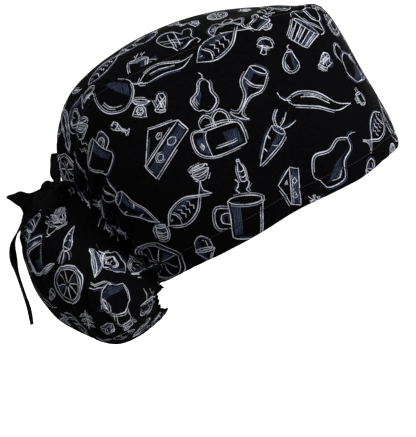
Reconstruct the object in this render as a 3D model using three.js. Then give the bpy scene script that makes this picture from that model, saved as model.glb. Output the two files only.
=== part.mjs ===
// A ponytail scrub cap, shaped as it sits on a head: a deep front band, a crown panel that runs over the
// top and down the back, and a gathered hair pouch below the ties. Millimetres, +X to the forehead,
// +Y to the wearer's left, +Z up. The origin is the middle of the head opening.
import * as THREE from "three";

// The head opening: the hem runs from the forehead down to the nape.
const OPENING_REACH = 86; // the forehead hem ahead of the middle, and the nape hem behind it
const OPENING_HALF_WIDTH = 77; // the hem beside the ears
const OPENING_RISE = 50.3; // the forehead hem above the middle, and the nape hem below it

// The crown seam, which joins the band to the crown panel.
const CROWN_HEIGHT = 153.5; // the seam over the forehead, above the middle
const SEAM_HALF_WIDTH = 66; // the seam at its widest
const BACK_REACH = 160; // the seam's back end at the ties, behind the middle

// Fullness of the cloth between its seams.
const SIDE_FULLNESS = 26; // the band stands out beyond a straight line from hem to seam
const CROWN_RISE = 23; // the crown panel stands up from its seam

// The hair pouch and its mouth at the nape.
const POUCH_BACK = 77; // how strongly the pouch swells back from the ties
const POUCH_WIDE = 50; // and to each side
const POUCH_DOWN = 76; // and downwards
const NECK_DROP = 17; // the cloth runs on this far from the ties before it swells
const NECK_INSET = 2; // and dips in behind the casings by this much
const MOUTH_HALF_WIDTH = 35; // the mouth's gathered lip across the nape
const MOUTH_DROP = 14; // how far the middle of the lip hangs below its ends
const MOUTH_SETBACK = 7; // the lip's ends lie behind the nape ends of the hem
const MOUTH_BELOW = 8; // and below them

// Cloth and sewing.
const WALL = 1.5; // printed cotton, two layers
const HEM_WALL = 2.6; // turned hems, where the cloth is folded twice
const HEM_WIDTH = 10; // the turned hem along the opening
const CASING_WIDTH = 9; // the gathered tunnel along each back edge of the band
const SEAM_GAP = 0.3; // between two pieces sewn edge to edge
const GATHER_DEPTH = 2.4; // ridge to mid-line of the gathers
const BAND_GATHERS = 7; // ridges along each back edge of the band
const POUCH_GATHERS = 15; // ridges round the pouch's top
const MOUTH_GATHERS = 11; // ridges along the pouch's lip

// The ties: flat tapes that leave the casings at the crown panel's back edge and are tied in a bow.
const TIE_WIDTH = 15;
const TIE_WALL = 1.3;
const KNOT_HEIGHT = 16;
const KNOT_WIDTH = 14;
const KNOT_DEPTH = 11;
const KNOT_BACK = 173; // the knot's middle behind the middle of the head opening
const KNOT_UP = 17; // and above it
const TIE_REACH = 100; // the scale of the tables of tapes below

// Steps of the meshes.
const FRONT_STEPS = 4; // on each side of the forehead
const SIDE_STEPS = 20; // from there to the ties
const BAND_RISE_STEPS = 24; // from the hem to the crown seam
const POUCH_STEPS = 13; // from the casings to the mouth's hem

// One row for each section of the band's right or left half, from the forehead to the back edge.
// hem* are shares of the opening's sizes and seam* of the crown seam's. full* say how far the middle of
// the section stands out, as shares of SIDE_FULLNESS. rise is the crown panel's share of CROWN_RISE.
// square is 2 for a round section and more for one with squarer shoulders.
const SECTIONS = [
  {
    hemX: 1.0, hemY: 0.0, hemZ: 1.0, seamX: 0.169, seamY: 0.0, seamZ: 1.0,
    fullX: 0.16, fullY: 0.0, fullZ: 0.09, rise: 0.0, square: 5.0,
  },
  {
    hemX: 0.95, hemY: 0.3, hemZ: 0.92, seamX: 0.159, seamY: 0.273, seamZ: 0.998,
    fullX: 0.16, fullY: 0.08, fullZ: 0.09, rise: 0.0, square: 4.8,
  },
  {
    hemX: 0.83, hemY: 0.57, hemZ: 0.76, seamX: 0.131, seamY: 0.545, seamZ: 0.987,
    fullX: 0.16, fullY: 0.2, fullZ: 0.08, rise: 0.0, square: 4.4,
  },
  {
    hemX: 0.64, hemY: 0.79, hemZ: 0.51, seamX: 0.0625, seamY: 0.742, seamZ: 0.961,
    fullX: 0.13, fullY: 0.38, fullZ: 0.05, rise: 0.18, square: 3.8,
  },
  {
    hemX: 0.38, hemY: 0.93, hemZ: 0.28, seamX: -0.094, seamY: 0.879, seamZ: 0.922,
    fullX: 0.07, fullY: 0.5, fullZ: 0.03, rise: 0.41, square: 3.1,
  },
  {
    hemX: 0.09, hemY: 1.0, hemZ: 0.04, seamX: -0.3, seamY: 0.955, seamZ: 0.831,
    fullX: 0.0, fullY: 0.56, fullZ: 0.0, rise: 0.87, square: 2.7,
  },
  {
    hemX: -0.21, hemY: 1.0, hemZ: -0.28, seamX: -0.5125, seamY: 1.0, seamZ: 0.739,
    fullX: 0.0, fullY: 0.6, fullZ: 0.0, rise: 1.0, square: 2.5,
  },
  {
    hemX: -0.49, hemY: 0.935, hemZ: -0.54, seamX: -0.7, seamY: 0.97, seamZ: 0.648,
    fullX: -0.04, fullY: 0.76, fullZ: 0.0, rise: 0.86, square: 2.4,
  },
  {
    hemX: -0.72, hemY: 0.79, hemZ: -0.73, seamX: -0.8625, seamY: 0.833, seamZ: 0.547,
    fullX: -0.08, fullY: 0.97, fullZ: 0.0, rise: 0.64, square: 2.3,
  },
  {
    hemX: -0.885, hemY: 0.635, hemZ: -0.88, seamX: -0.94, seamY: 0.636, seamZ: 0.378,
    fullX: -0.12, fullY: 1.0, fullZ: 0.0, rise: 0.52, square: 2.2,
  },
  {
    hemX: -1.0, hemY: 0.48, hemZ: -0.98, seamX: -0.954, seamY: 0.303, seamZ: 0.147,
    fullX: -0.04, fullY: 0.76, fullZ: 0.08, rise: 0.4, square: 2.2,
  },
];
const FRONT_SHARE = 0.2; // the seam ahead of this share of the way round is the crown panel's front edge

// One row for each section of the pouch's half, from the middle of the back (0) to the nape (1). The
// section is a Bezier curve from the ties or the band's back edge to the lip: out* is its first handle
// and lip* its last, as shares of POUCH_BACK, POUCH_WIDE and POUCH_DOWN. hem is the share of its length
// that the turned hem with the elastic takes up.
const POUCH_SECTIONS = [
  { outX: -1.03, outY: 0.0, outZ: -0.33, lipX: -0.75, lipY: 0.0, lipZ: -0.98, hem: 0.045 },
  { outX: -0.86, outY: 0.52, outZ: -0.42, lipX: -0.66, lipY: 0.52, lipZ: -0.95, hem: 0.045 },
  { outX: -0.52, outY: 0.75, outZ: -0.44, lipX: -0.57, lipY: 1.0, lipZ: -0.76, hem: 0.05 },
  { outX: -0.23, outY: 0.7, outZ: -0.45, lipX: -0.44, lipY: 1.12, lipZ: -0.53, hem: 0.065 },
  { outX: -0.05, outY: 0.52, outZ: -0.37, lipX: -0.26, lipY: 0.85, lipZ: -0.29, hem: 0.1 },
  { outX: 0.02, outY: 0.2, outZ: -0.12, lipX: -0.08, lipY: 0.2, lipZ: -0.04, hem: 0.35 },
];

// One row for each place along the middle of a tape, from the knot on. back, left and up give its distance
// from the knot's middle and across* the way of its width, each as shares of TIE_REACH.
const RIGHT_TAIL = [
  { back: 0.055, left: -0.06, up: -0.035, acrossX: 0.0, acrossY: 0.02, acrossZ: 0.05 },
  { back: 0.12, left: -0.09, up: -0.09, acrossX: -0.01, acrossY: 0.0, acrossZ: 0.07 },
  { back: 0.18, left: -0.1, up: -0.09, acrossX: -0.03, acrossY: 0.01, acrossZ: 0.065 },
  { back: 0.232, left: -0.1, up: -0.12, acrossX: -0.053, acrossY: 0.02, acrossZ: 0.045 },
  { back: 0.235, left: -0.09, up: -0.21, acrossX: -0.03, acrossY: 0.06, acrossZ: 0.01 },
  { back: 0.222, left: -0.08, up: -0.3, acrossX: -0.01, acrossY: 0.07, acrossZ: 0.0 },
  { back: 0.234, left: -0.08, up: -0.45, acrossX: -0.027, acrossY: 0.065, acrossZ: 0.0 },
  { back: 0.228, left: -0.08, up: -0.585, acrossX: -0.005, acrossY: 0.07, acrossZ: 0.0 },
  { back: 0.177, left: -0.08, up: -0.73, acrossX: 0.01, acrossY: 0.068, acrossZ: 0.01 },
  { back: 0.142, left: -0.09, up: -0.81, acrossX: 0.008, acrossY: 0.07, acrossZ: 0.0 },
  { back: 0.107, left: -0.09, up: -0.985, acrossX: 0.003, acrossY: 0.07, acrossZ: 0.0 },
];
const LEFT_TAIL = [
  { back: 0.05, left: 0.065, up: -0.04, acrossX: 0.0, acrossY: -0.02, acrossZ: 0.05 },
  { back: 0.115, left: 0.13, up: -0.12, acrossX: -0.03, acrossY: 0.0, acrossZ: 0.065 },
  { back: 0.175, left: 0.17, up: -0.22, acrossX: -0.03, acrossY: 0.05, acrossZ: 0.04 },
  { back: 0.2, left: 0.19, up: -0.34, acrossX: -0.02, acrossY: 0.07, acrossZ: 0.01 },
  { back: 0.185, left: 0.2, up: -0.48, acrossX: 0.01, acrossY: 0.07, acrossZ: 0.0 },
  { back: 0.118, left: 0.2, up: -0.62, acrossX: 0.02, acrossY: 0.07, acrossZ: 0.01 },
  { back: 0.035, left: 0.21, up: -0.76, acrossX: 0.02, acrossY: 0.07, acrossZ: 0.0 },
  { back: -0.065, left: 0.22, up: -0.89, acrossX: 0.03, acrossY: 0.065, acrossZ: 0.0 },
];
const RIGHT_LOOP = [
  { back: -0.022, left: -0.069, up: 0.03, acrossX: 0.0, acrossY: 0.0, acrossZ: 0.04 },
  { back: -0.075, left: -0.2, up: 0.02, acrossX: 0.01, acrossY: 0.0, acrossZ: 0.07 },
  { back: -0.085, left: -0.31, up: 0.005, acrossX: 0.01, acrossY: 0.01, acrossZ: 0.07 },
  { back: -0.04, left: -0.4, up: -0.01, acrossX: 0.01, acrossY: 0.01, acrossZ: 0.07 },
  { back: 0.05, left: -0.41, up: -0.02, acrossX: 0.01, acrossY: 0.01, acrossZ: 0.07 },
  { back: 0.105, left: -0.32, up: -0.02, acrossX: 0.0, acrossY: 0.0, acrossZ: 0.07 },
  { back: 0.09, left: -0.2, up: 0.0, acrossX: 0.0, acrossY: 0.0, acrossZ: 0.07 },
  { back: 0.022, left: -0.069, up: 0.02, acrossX: 0.0, acrossY: 0.0, acrossZ: 0.04 },
];
const LEFT_LOOP = [
  { back: 0.01, left: 0.02, up: 0.089, acrossX: 0.0, acrossY: 0.05, acrossZ: 0.0 },
  { back: 0.015, left: 0.07, up: 0.19, acrossX: 0.0, acrossY: 0.07, acrossZ: -0.02 },
  { back: 0.005, left: 0.1, up: 0.28, acrossX: 0.0, acrossY: 0.07, acrossZ: -0.02 },
  { back: -0.025, left: 0.11, up: 0.31, acrossX: 0.0, acrossY: 0.07, acrossZ: -0.02 },
  { back: -0.035, left: 0.1, up: 0.26, acrossX: 0.0, acrossY: 0.07, acrossZ: -0.02 },
  { back: -0.022, left: 0.07, up: 0.18, acrossX: 0.0, acrossY: 0.07, acrossZ: -0.02 },
  { back: -0.02, left: 0.02, up: 0.085, acrossX: 0.0, acrossY: 0.05, acrossZ: 0.0 },
];
const LEAD = [
  { back: -0.175, left: 0.22, up: 0.02, acrossX: 0.01, acrossY: 0.01, acrossZ: 0.045 },
  { back: -0.12, left: 0.15, up: 0.0, acrossX: 0.0, acrossY: 0.01, acrossZ: 0.045 },
  { back: -0.046, left: 0.07, up: -0.01, acrossX: 0.0, acrossY: 0.0, acrossZ: 0.035 },
];

const { lerp, smoothstep } = THREE.MathUtils;
const isSideways = (key) => key.endsWith("Y");
const isTape = (table) => "back" in table[0];

// A smooth curve through one column of a table, at a place between its rows. Ahead of the first row a
// section table repeats in mirror image and a tape's table runs straight on.
function column(table, key, place) {
  const last = table.length - 1;
  const row = Math.min(Math.floor(place), last - 1);
  const at = (i) => {
    if (i < 0 && isTape(table)) return 2 * table[0][key] - table[1][key];
    if (i < 0) return (isSideways(key) ? -1 : 1) * table[-i][key];
    return i > last ? 2 * table[last][key] - table[last - 1][key] : table[i][key];
  };
  const [a, b, c, d] = [at(row - 1), at(row), at(row + 1), at(row + 2)];
  const t = place - row;
  return b + 0.5 * t * (c - a + t * (2 * a - 5 * b + 4 * c - d + t * (3 * (b - c) + d - a)));
}

const mirrored = (p, side) => new THREE.Vector3(p.x, p.y * side, p.z);

// A point of the crown seam, u from -1 (back, right) past 0 (forehead) to 1 (back, left).
function seamPoint(u) {
  const place = Math.abs(u) * (SECTIONS.length - 1);
  const seam = new THREE.Vector3(
    column(SECTIONS, "seamX", place) * BACK_REACH,
    column(SECTIONS, "seamY", place) * SEAM_HALF_WIDTH,
    column(SECTIONS, "seamZ", place) * CROWN_HEIGHT,
  );
  return mirrored(seam, Math.sign(u));
}

function hemPoint(u) {
  const place = Math.abs(u) * (SECTIONS.length - 1);
  const hem = new THREE.Vector3(
    column(SECTIONS, "hemX", place) * OPENING_REACH,
    column(SECTIONS, "hemY", place) * OPENING_HALF_WIDTH,
    column(SECTIONS, "hemZ", place) * OPENING_RISE,
  );
  return mirrored(hem, Math.sign(u));
}

// The band: v from 0 at the hem to 1 at the crown seam. Its gathers deepen towards the back edge.
function bandPoint(u, v) {
  const place = Math.abs(u) * (SECTIONS.length - 1);
  const full = new THREE.Vector3(
    column(SECTIONS, "fullX", place),
    column(SECTIONS, "fullY", place),
    column(SECTIONS, "fullZ", place),
  ).multiplyScalar(SIDE_FULLNESS);
  const swell = 1 - Math.abs(2 * v - 1) ** column(SECTIONS, "square", place);
  const ridge = Math.sin(2 * Math.PI * BAND_GATHERS * v + 1.3 * Math.sin(5 * v));
  const depth = GATHER_DEPTH * smoothstep(Math.abs(u), 0.74, 0.97) * smoothstep(swell, 0, 0.4);
  const straight = hemPoint(u).lerp(seamPoint(u), v);
  return straight
    .addScaledVector(mirrored(full, Math.sign(u)), swell)
    .addScaledVector(new THREE.Vector3(-0.45, 0.8 * Math.sign(u), -0.4), depth * ridge);
}

// The crown panel: t from 0 at its front edge to 1 at the ties, w from -1 (right seam) to 1 (left seam).
// It fills its four edges with a Coons patch and stands up from them.
function crownEdge(w) {
  const corner = seamPoint(1);
  const rise = column(SECTIONS, "rise", SECTIONS.length - 1) * CROWN_RISE;
  return new THREE.Vector3(corner.x - rise * (1 - w * w), corner.y * w, corner.z);
}

function crownPoint(t, w) {
  const u = lerp(FRONT_SHARE, 1, t);
  const [left, right] = [seamPoint(u), seamPoint(-u)];
  const [front, back] = [seamPoint(w * FRONT_SHARE), crownEdge(w)];
  const across = (a, b) => a.clone().lerp(b, (w + 1) / 2);
  const sides = across(right, left);
  const frontChord = across(seamPoint(-FRONT_SHARE), seamPoint(FRONT_SHARE));
  const backChord = across(seamPoint(-1), seamPoint(1));
  const ends = front.sub(frontChord).multiplyScalar(1 - t).addScaledVector(back.sub(backChord), t);
  const step = 0.02;
  const ahead = seamPoint(Math.max(u - step, 0)).sub(seamPoint(Math.min(u + step, 1)));
  const up = new THREE.Vector3(-ahead.z, 0, ahead.x).normalize();
  const place = u * (SECTIONS.length - 1);
  const fade = 1 - t ** 6; // the back edge already holds its own rise
  const rise = column(SECTIONS, "rise", place) * CROWN_RISE * (1 - Math.abs(w) ** 2.3) * fade;
  const ridge = Math.cos(2 * Math.PI * 2.5 * w) * GATHER_DEPTH * 0.6;
  const depth = smoothstep(t, 0.72, 0.9) * (1 - smoothstep(t, 0.93, 1)) * (1 - w * w);
  return sides.add(ends).addScaledVector(up, rise + ridge * depth);
}

// The outward normal of a surface, from its slopes, all of whose pieces have +u to the left and +v up.
function normalOf(point, u, v, range) {
  const step = 2e-3;
  const clampU = (x) => THREE.MathUtils.clamp(x, range.u[0], range.u[1]);
  const clampV = (x) => THREE.MathUtils.clamp(x, range.v[0], range.v[1]);
  const alongU = point(clampU(u + step), v).sub(point(clampU(u - step), v));
  const alongV = point(u, clampV(v + step)).sub(point(u, clampV(v - step)));
  return alongU.cross(alongV).normalize().multiplyScalar(range.turn);
}
const BAND_RANGE = { u: [-1, 1], v: [0, 1], turn: 1 };
const CROWN_RANGE = { u: [0, 1], v: [-1, 1], turn: -1 };

// At the crown seam both panels take the mean of their two normals, so that their edges face each other.
function seamNormal(u) {
  const t = (Math.abs(u) - FRONT_SHARE) / (1 - FRONT_SHARE);
  const crown = t < 0 ? [0, u / FRONT_SHARE] : [t, Math.sign(u)];
  return normalOf(bandPoint, u, 1, BAND_RANGE).add(normalOf(crownPoint, ...crown, CROWN_RANGE)).normalize();
}

// A grid of middle points and outward normals on a surface. rows run along v and columns along u.
function clothGrid(point, us, vs, range, normal = normalOf) {
  return vs.map((v) => us.map((u) => ({ p: point(u, v), n: normal(point, u, v, range) })));
}

// Draws an edge of a grid back along the cloth by half the seam gap.
function drawBack(grid, edge) {
  const half = SEAM_GAP / 2;
  const pull = (cell, next) => cell.p.add(next.p.clone().sub(cell.p).setLength(half));
  const [rows, columns] = [grid.length, grid[0].length];
  if (edge === "bottom") grid[0].forEach((cell, i) => pull(cell, grid[1][i]));
  if (edge === "top") grid[rows - 1].forEach((cell, i) => pull(cell, grid[rows - 2][i]));
  if (edge === "first") grid.forEach((row) => pull(row[0], row[1]));
  if (edge === "last") grid.forEach((row) => pull(row[columns - 1], row[columns - 2]));
}

// A wall of the given thickness round a grid, closed along all four edges. flip turns it inside out.
function clothWall(grid, wall, flip = false) {
  const [rows, columns] = [grid.length, grid[0].length];
  const positions = [];
  for (const side of [0.5, -0.5]) {
    for (const row of grid) {
      for (const { p, n } of row) positions.push(...p.clone().addScaledVector(n, wall * side).toArray());
    }
  }
  const outer = (r, c) => r * columns + c;
  const inner = (r, c) => rows * columns + outer(r, c);
  const faces = [];
  const quad = (a, b, c, d) => (flip ? faces.push(a, c, b, a, d, c) : faces.push(a, b, c, a, c, d));
  for (let r = 0; r < rows - 1; r++) {
    for (let c = 0; c < columns - 1; c++) {
      quad(outer(r, c), outer(r, c + 1), outer(r + 1, c + 1), outer(r + 1, c));
      quad(inner(r, c), inner(r + 1, c), inner(r + 1, c + 1), inner(r, c + 1));
    }
  }
  for (let c = 0; c < columns - 1; c++) {
    quad(outer(0, c), inner(0, c), inner(0, c + 1), outer(0, c + 1));
    quad(outer(rows - 1, c), outer(rows - 1, c + 1), inner(rows - 1, c + 1), inner(rows - 1, c));
  }
  for (let r = 0; r < rows - 1; r++) {
    quad(outer(r, 0), outer(r + 1, 0), inner(r + 1, 0), inner(r, 0));
    quad(outer(r, columns - 1), inner(r, columns - 1), inner(r + 1, columns - 1), outer(r + 1, columns - 1));
  }
  const geometry = new THREE.BufferGeometry();
  geometry.setAttribute("position", new THREE.Float32BufferAttribute(positions, 3));
  geometry.setIndex(faces);
  geometry.computeVertexNormals();
  return geometry;
}

const steps = (from, to, count) => Array.from({ length: count + 1 }, (_, i) => lerp(from, to, i / count));

// The shares of the way round at which the band and the crown panel have a line of vertices.
const HEM_SHARE = HEM_WIDTH / hemPoint(0).distanceTo(seamPoint(0));
const CASING_SHARE = CASING_WIDTH / bandPoint(0.9, 0.5).distanceTo(bandPoint(1, 0.5)) / 10;
const halfRound = [
  ...steps(0, FRONT_SHARE, FRONT_STEPS).slice(0, -1),
  ...steps(FRONT_SHARE, 1 - CASING_SHARE, SIDE_STEPS),
];
const wholeRound = [...halfRound.slice(1).reverse().map((u) => -u), ...halfRound];

const seamed = (point, u, v, range) => (v === 1 ? seamNormal(u) : normalOf(point, u, v, range));

function frontBand() {
  const grid = clothGrid(bandPoint, wholeRound, steps(HEM_SHARE, 1, BAND_RISE_STEPS), BAND_RANGE, seamed);
  for (const edge of ["bottom", "top", "first", "last"]) drawBack(grid, edge);
  return clothWall(grid, WALL);
}

function frontHem() {
  const grid = clothGrid(bandPoint, wholeRound, steps(0, HEM_SHARE, 2), BAND_RANGE);
  for (const edge of ["top", "first", "last"]) drawBack(grid, edge);
  return clothWall(grid, HEM_WALL);
}

const casingRise = [0, HEM_SHARE / 2, ...steps(HEM_SHARE, 1, BAND_RISE_STEPS)];

function casing(side) {
  const us = steps(1 - CASING_SHARE, 1, 2).map((u) => u * side);
  if (side < 0) us.reverse();
  const grid = clothGrid(bandPoint, us, casingRise, BAND_RANGE, seamed);
  drawBack(grid, side < 0 ? "last" : "first");
  drawBack(grid, "top");
  return clothWall(grid, HEM_WALL);
}

function crownPanel() {
  const us = [...halfRound.slice(FRONT_STEPS), 1 - CASING_SHARE / 2, 1];
  const ts = us.map((u) => (u - FRONT_SHARE) / (1 - FRONT_SHARE));
  const ws = steps(-1, 1, FRONT_STEPS * 2);
  const seamOf = (t, w) => (t === 0 ? w * FRONT_SHARE : lerp(FRONT_SHARE, 1, t) * w);
  const normal = (point, t, w, range) =>
    t === 0 || Math.abs(w) === 1 ? seamNormal(seamOf(t, w)) : normalOf(point, t, w, range);
  const grid = clothGrid(crownPoint, ts, ws, CROWN_RANGE, normal);
  for (const edge of ["bottom", "top", "first", "last"]) drawBack(grid, edge);
  return clothWall(grid, WALL, true);
}

// The line where the pouch joins the cap: a from -1 (nape, right) past 0 (ties) to 1 (nape, left). It
// gives a point of the edge of the crown panel or the casing, its normal and the way on from that edge.
const TIE_SHARE = 0.14;

function grooveAt(a) {
  const side = Math.sign(a) || 1;
  const reach = Math.abs(a);
  const step = 5e-3;
  if (reach < TIE_SHARE) {
    const w = a / TIE_SHARE;
    const p = crownPoint(1, w);
    return { p, n: normalOf(crownPoint, 1, w, CROWN_RANGE), on: p.clone().sub(crownPoint(1 - step, w)).normalize() };
  }
  const v = 1 - (reach - TIE_SHARE) / (1 - TIE_SHARE);
  const p = bandPoint(side, v);
  const n = v === 1 ? seamNormal(side) : normalOf(bandPoint, side, v, BAND_RANGE);
  return { p, n, on: p.clone().sub(bandPoint(side * (1 - step), v)).normalize() };
}

function lipPoint(a) {
  const turn = (a * Math.PI) / 2;
  const ripple = 1 + 0.05 * Math.cos(2 * Math.PI * MOUTH_GATHERS * a) * (1 - a * a);
  return new THREE.Vector3(
    -OPENING_REACH - MOUTH_SETBACK * Math.abs(Math.sin(turn)),
    MOUTH_HALF_WIDTH * Math.sin(turn),
    -OPENING_RISE - MOUTH_BELOW - MOUTH_DROP * Math.cos(turn) * ripple,
  );
}

// The pouch: a as above, b from 0 at the casing to 1 at the lip.
function pouchPoint(a, b) {
  const { p, n, on } = grooveAt(a);
  const start = p.clone().addScaledVector(on, SEAM_GAP * 2);
  const place = Math.abs(a) * (POUCH_SECTIONS.length - 1);
  const side = Math.sign(a);
  const handle = (name) =>
    new THREE.Vector3(
      column(POUCH_SECTIONS, name + "X", place) * POUCH_BACK,
      column(POUCH_SECTIONS, name + "Y", place) * POUCH_WIDE * side,
      column(POUCH_SECTIONS, name + "Z", place) * POUCH_DOWN,
    );
  const lip = lipPoint(a);
  const curve = new THREE.CubicBezierCurve3(start, start.clone().add(handle("out")), lip.clone().add(handle("lip")), lip);
  const ridge = Math.cos(2 * Math.PI * POUCH_GATHERS * 0.5 * a + 0.8 * Math.sin(9 * a));
  const depth = GATHER_DEPTH * smoothstep(b, 0.02, 0.16) * (1 - smoothstep(b, 0.25, 0.6)) * (1 - a ** 6);
  const lipRidge = Math.cos(2 * Math.PI * MOUTH_GATHERS * 0.5 * a);
  const lipDepth = GATHER_DEPTH * 0.8 * smoothstep(b, 0.7, 0.95) * (1 - a ** 6);
  const out = new THREE.Vector3(-0.6 * (1 - a * a), Math.sin(a * 1.5), -0.45).normalize();
  const neck = start.clone().addScaledVector(on, NECK_DROP * b * 5).addScaledVector(n, -NECK_INSET * Math.sin(b * 15));
  const swollen = curve.getPoint(b).addScaledVector(out, depth * ridge + lipDepth * lipRidge);
  return neck.lerp(swollen, smoothstep(b, 0.05, 0.27));
}

// Rows of the pouch: cs from 0 at the casings past 1 at the mouth's hem to 2 at the lip.
function pouchGrid(cs) {
  const alongCasing = casingRise.map((v) => TIE_SHARE + (1 - v) * (1 - TIE_SHARE)).reverse();
  const half = [...steps(0, TIE_SHARE, FRONT_STEPS).slice(0, -1), ...alongCasing];
  const as = [...half.slice(1).reverse().map((a) => -a), ...half];
  const range = { u: [-1, 1], v: [0, 1], turn: 1 };
  const toB = (a, c) => {
    const hem = column(POUCH_SECTIONS, "hem", Math.abs(a) * (POUCH_SECTIONS.length - 1));
    return c < 1 ? c * (1 - hem) : lerp(1 - hem, 1, c - 1);
  };
  const cell = (a, b) => ({
    p: pouchPoint(a, b),
    n: b === 0 ? grooveAt(a).n : normalOf(pouchPoint, a, b, range),
  });
  return cs.map((c) => as.map((a) => cell(a, toB(a, c))));
}

function hairPouch() {
  const grid = pouchGrid(steps(0, 1, POUCH_STEPS));
  drawBack(grid, "top");
  return clothWall(grid, WALL);
}

function mouthHem() {
  const grid = pouchGrid([1.06, 2]);
  drawBack(grid, "bottom");
  return clothWall(grid, HEM_WALL);
}

const KNOT = new THREE.Vector3(-KNOT_BACK, 0, KNOT_UP);

// A tape along a table's middle line. s runs from 0 at its first row to 1 at its last, w from -1 to 1.
function tapePoint(table, s, w, side) {
  const place = s * (table.length - 1);
  const middle = new THREE.Vector3(
    -column(table, "back", place),
    column(table, "left", place) * side,
    column(table, "up", place),
  );
  const across = new THREE.Vector3(
    column(table, "acrossX", place),
    column(table, "acrossY", place) * side,
    column(table, "acrossZ", place),
  );
  const cupped = (1 - w * w) * 0.008;
  middle.addScaledVector(across, w).addScaledVector(new THREE.Vector3(-1, 0, 0), cupped);
  return middle.multiplyScalar(TIE_REACH).add(KNOT);
}

function tape(table, side = 1) {
  const range = { u: [0, 1], v: [-1, 1], turn: 1 };
  const point = (s, w) => tapePoint(table, s, w, side);
  const grid = clothGrid(point, steps(0, 1, (table.length - 1) * 3), steps(-1, 1, 2), range);
  return clothWall(grid, TIE_WALL);
}

// The knot: a rounded lump, wrapped by a turn of tape whose folds run round it.
function knot() {
  const geometry = new THREE.IcosahedronGeometry(1, 4);
  geometry.deleteAttribute("normal");
  geometry.deleteAttribute("uv");
  const at = geometry.attributes.position;
  for (let i = 0; i < at.count; i++) {
    const p = new THREE.Vector3().fromBufferAttribute(at, i);
    const fold = 1 + 0.05 * Math.cos(9 * p.y + 3 * p.z) * (1 - p.z * p.z);
    p.multiply(new THREE.Vector3(KNOT_DEPTH / 2, KNOT_WIDTH / 2, KNOT_HEIGHT / 2)).multiplyScalar(fold).add(KNOT);
    at.setXYZ(i, ...p.toArray());
  }
  geometry.computeVertexNormals();
  return geometry;
}

const cloth = new THREE.MeshStandardMaterial({ color: 0x14141a, roughness: 0.85, metalness: 0 });
const plain = new THREE.MeshStandardMaterial({ color: 0x0a0a0b, roughness: 0.8, metalness: 0 });

const cap = new THREE.Group();
cap.name = "scrub_cap";
function add(name, geometry, material) {
  const mesh = new THREE.Mesh(geometry, material);
  mesh.name = name;
  cap.add(mesh);
}

add("front_band", frontBand(), cloth);
add("front_hem", frontHem(), cloth);
add("casing_right", casing(-1), cloth);
add("casing_left", casing(1), cloth);
add("crown_panel", crownPanel(), cloth);
add("hair_pouch", hairPouch(), cloth);
add("mouth_hem", mouthHem(), cloth);
add("tie_knot", knot(), plain);
add("tie_lead_right", tape(LEAD, -1), plain);
add("tie_lead_left", tape(LEAD), plain);
add("tie_loop_right", tape(RIGHT_LOOP), plain);
add("tie_loop_left", tape(LEFT_LOOP), plain);
add("tie_tail_right", tape(RIGHT_TAIL), plain);
add("tie_tail_left", tape(LEFT_TAIL), plain);

export default cap;
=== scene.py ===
from functools import partial

import bmesh
import bpy
import numpy as np
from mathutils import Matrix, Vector
from mathutils.geometry import delaunay_2d_cdt, tessellate_polygon


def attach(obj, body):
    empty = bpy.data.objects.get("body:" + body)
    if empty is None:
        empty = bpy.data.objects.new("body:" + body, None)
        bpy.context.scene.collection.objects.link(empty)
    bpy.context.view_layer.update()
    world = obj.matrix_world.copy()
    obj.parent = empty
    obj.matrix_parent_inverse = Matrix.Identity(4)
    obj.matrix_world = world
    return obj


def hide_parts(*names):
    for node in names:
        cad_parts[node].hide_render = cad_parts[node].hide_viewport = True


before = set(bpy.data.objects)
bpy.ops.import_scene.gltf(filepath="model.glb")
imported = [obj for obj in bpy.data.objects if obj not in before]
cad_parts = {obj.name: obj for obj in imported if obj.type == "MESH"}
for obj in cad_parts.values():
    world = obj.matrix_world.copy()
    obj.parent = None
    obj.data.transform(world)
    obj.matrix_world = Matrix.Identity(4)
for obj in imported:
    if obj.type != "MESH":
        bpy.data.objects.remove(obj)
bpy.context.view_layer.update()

# Camera, floor and light.
# The photograph looks straight at the cap's right side from about its own height. The cap is held up by
# its head opening, so the floor lies a little below the lowest cloth and sweeps up behind it.
PHOTO_HEIGHT_MM = 323.4
CAMERA_DISTANCE = 1.6


def linear(colour):
    """sRGB hex to linear RGBA: c / 12.92 up to 0.04045, and ((c + 0.055) / 1.055) ** 2.4 above it."""
    parts = [int(colour[i : i + 2], 16) / 255 for i in (1, 3, 5)]
    return tuple(c / 12.92 if c <= 0.04045 else ((c + 0.055) / 1.055) ** 2.4 for c in parts) + (1.0,)


def node(tree, kind, links=(), **settings):
    """Adds a shader node. A setting is one of the node's own, or else an input's value, _ for a space."""
    made = tree.nodes.new(kind)
    for key, value in settings.items():
        if hasattr(made, key):
            setattr(made, key, value)
        else:
            made.inputs[key.replace("_", " ")].default_value = value
    for name, source in dict(links).items():
        tree.links.new(source, made.inputs[name])
    return made


def mesh_object(name, vertices_mm, faces):
    """An object in the scene from points in mm, its faces smooth."""
    mesh = bpy.data.meshes.new(name)
    mesh.from_pydata((np.asarray(vertices_mm) * 0.001).tolist(), [], [list(map(int, f)) for f in faces])
    mesh.polygons.foreach_set("use_smooth", [True] * len(mesh.polygons))
    made = bpy.data.objects.new(name, mesh)
    bpy.context.scene.collection.objects.link(made)
    return made


camera = bpy.data.objects.new("camera", bpy.data.cameras.new("camera"))
camera.data.lens = 36 * CAMERA_DISTANCE * 1000 / PHOTO_HEIGHT_MM
camera.location = (-0.0545, -CAMERA_DISTANCE, -0.0033)
camera.rotation_euler = (np.pi / 2, 0, 0)
bpy.context.scene.collection.objects.link(camera)
bpy.context.scene.camera = camera
bpy.context.scene.view_settings.view_transform = "Standard"

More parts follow.
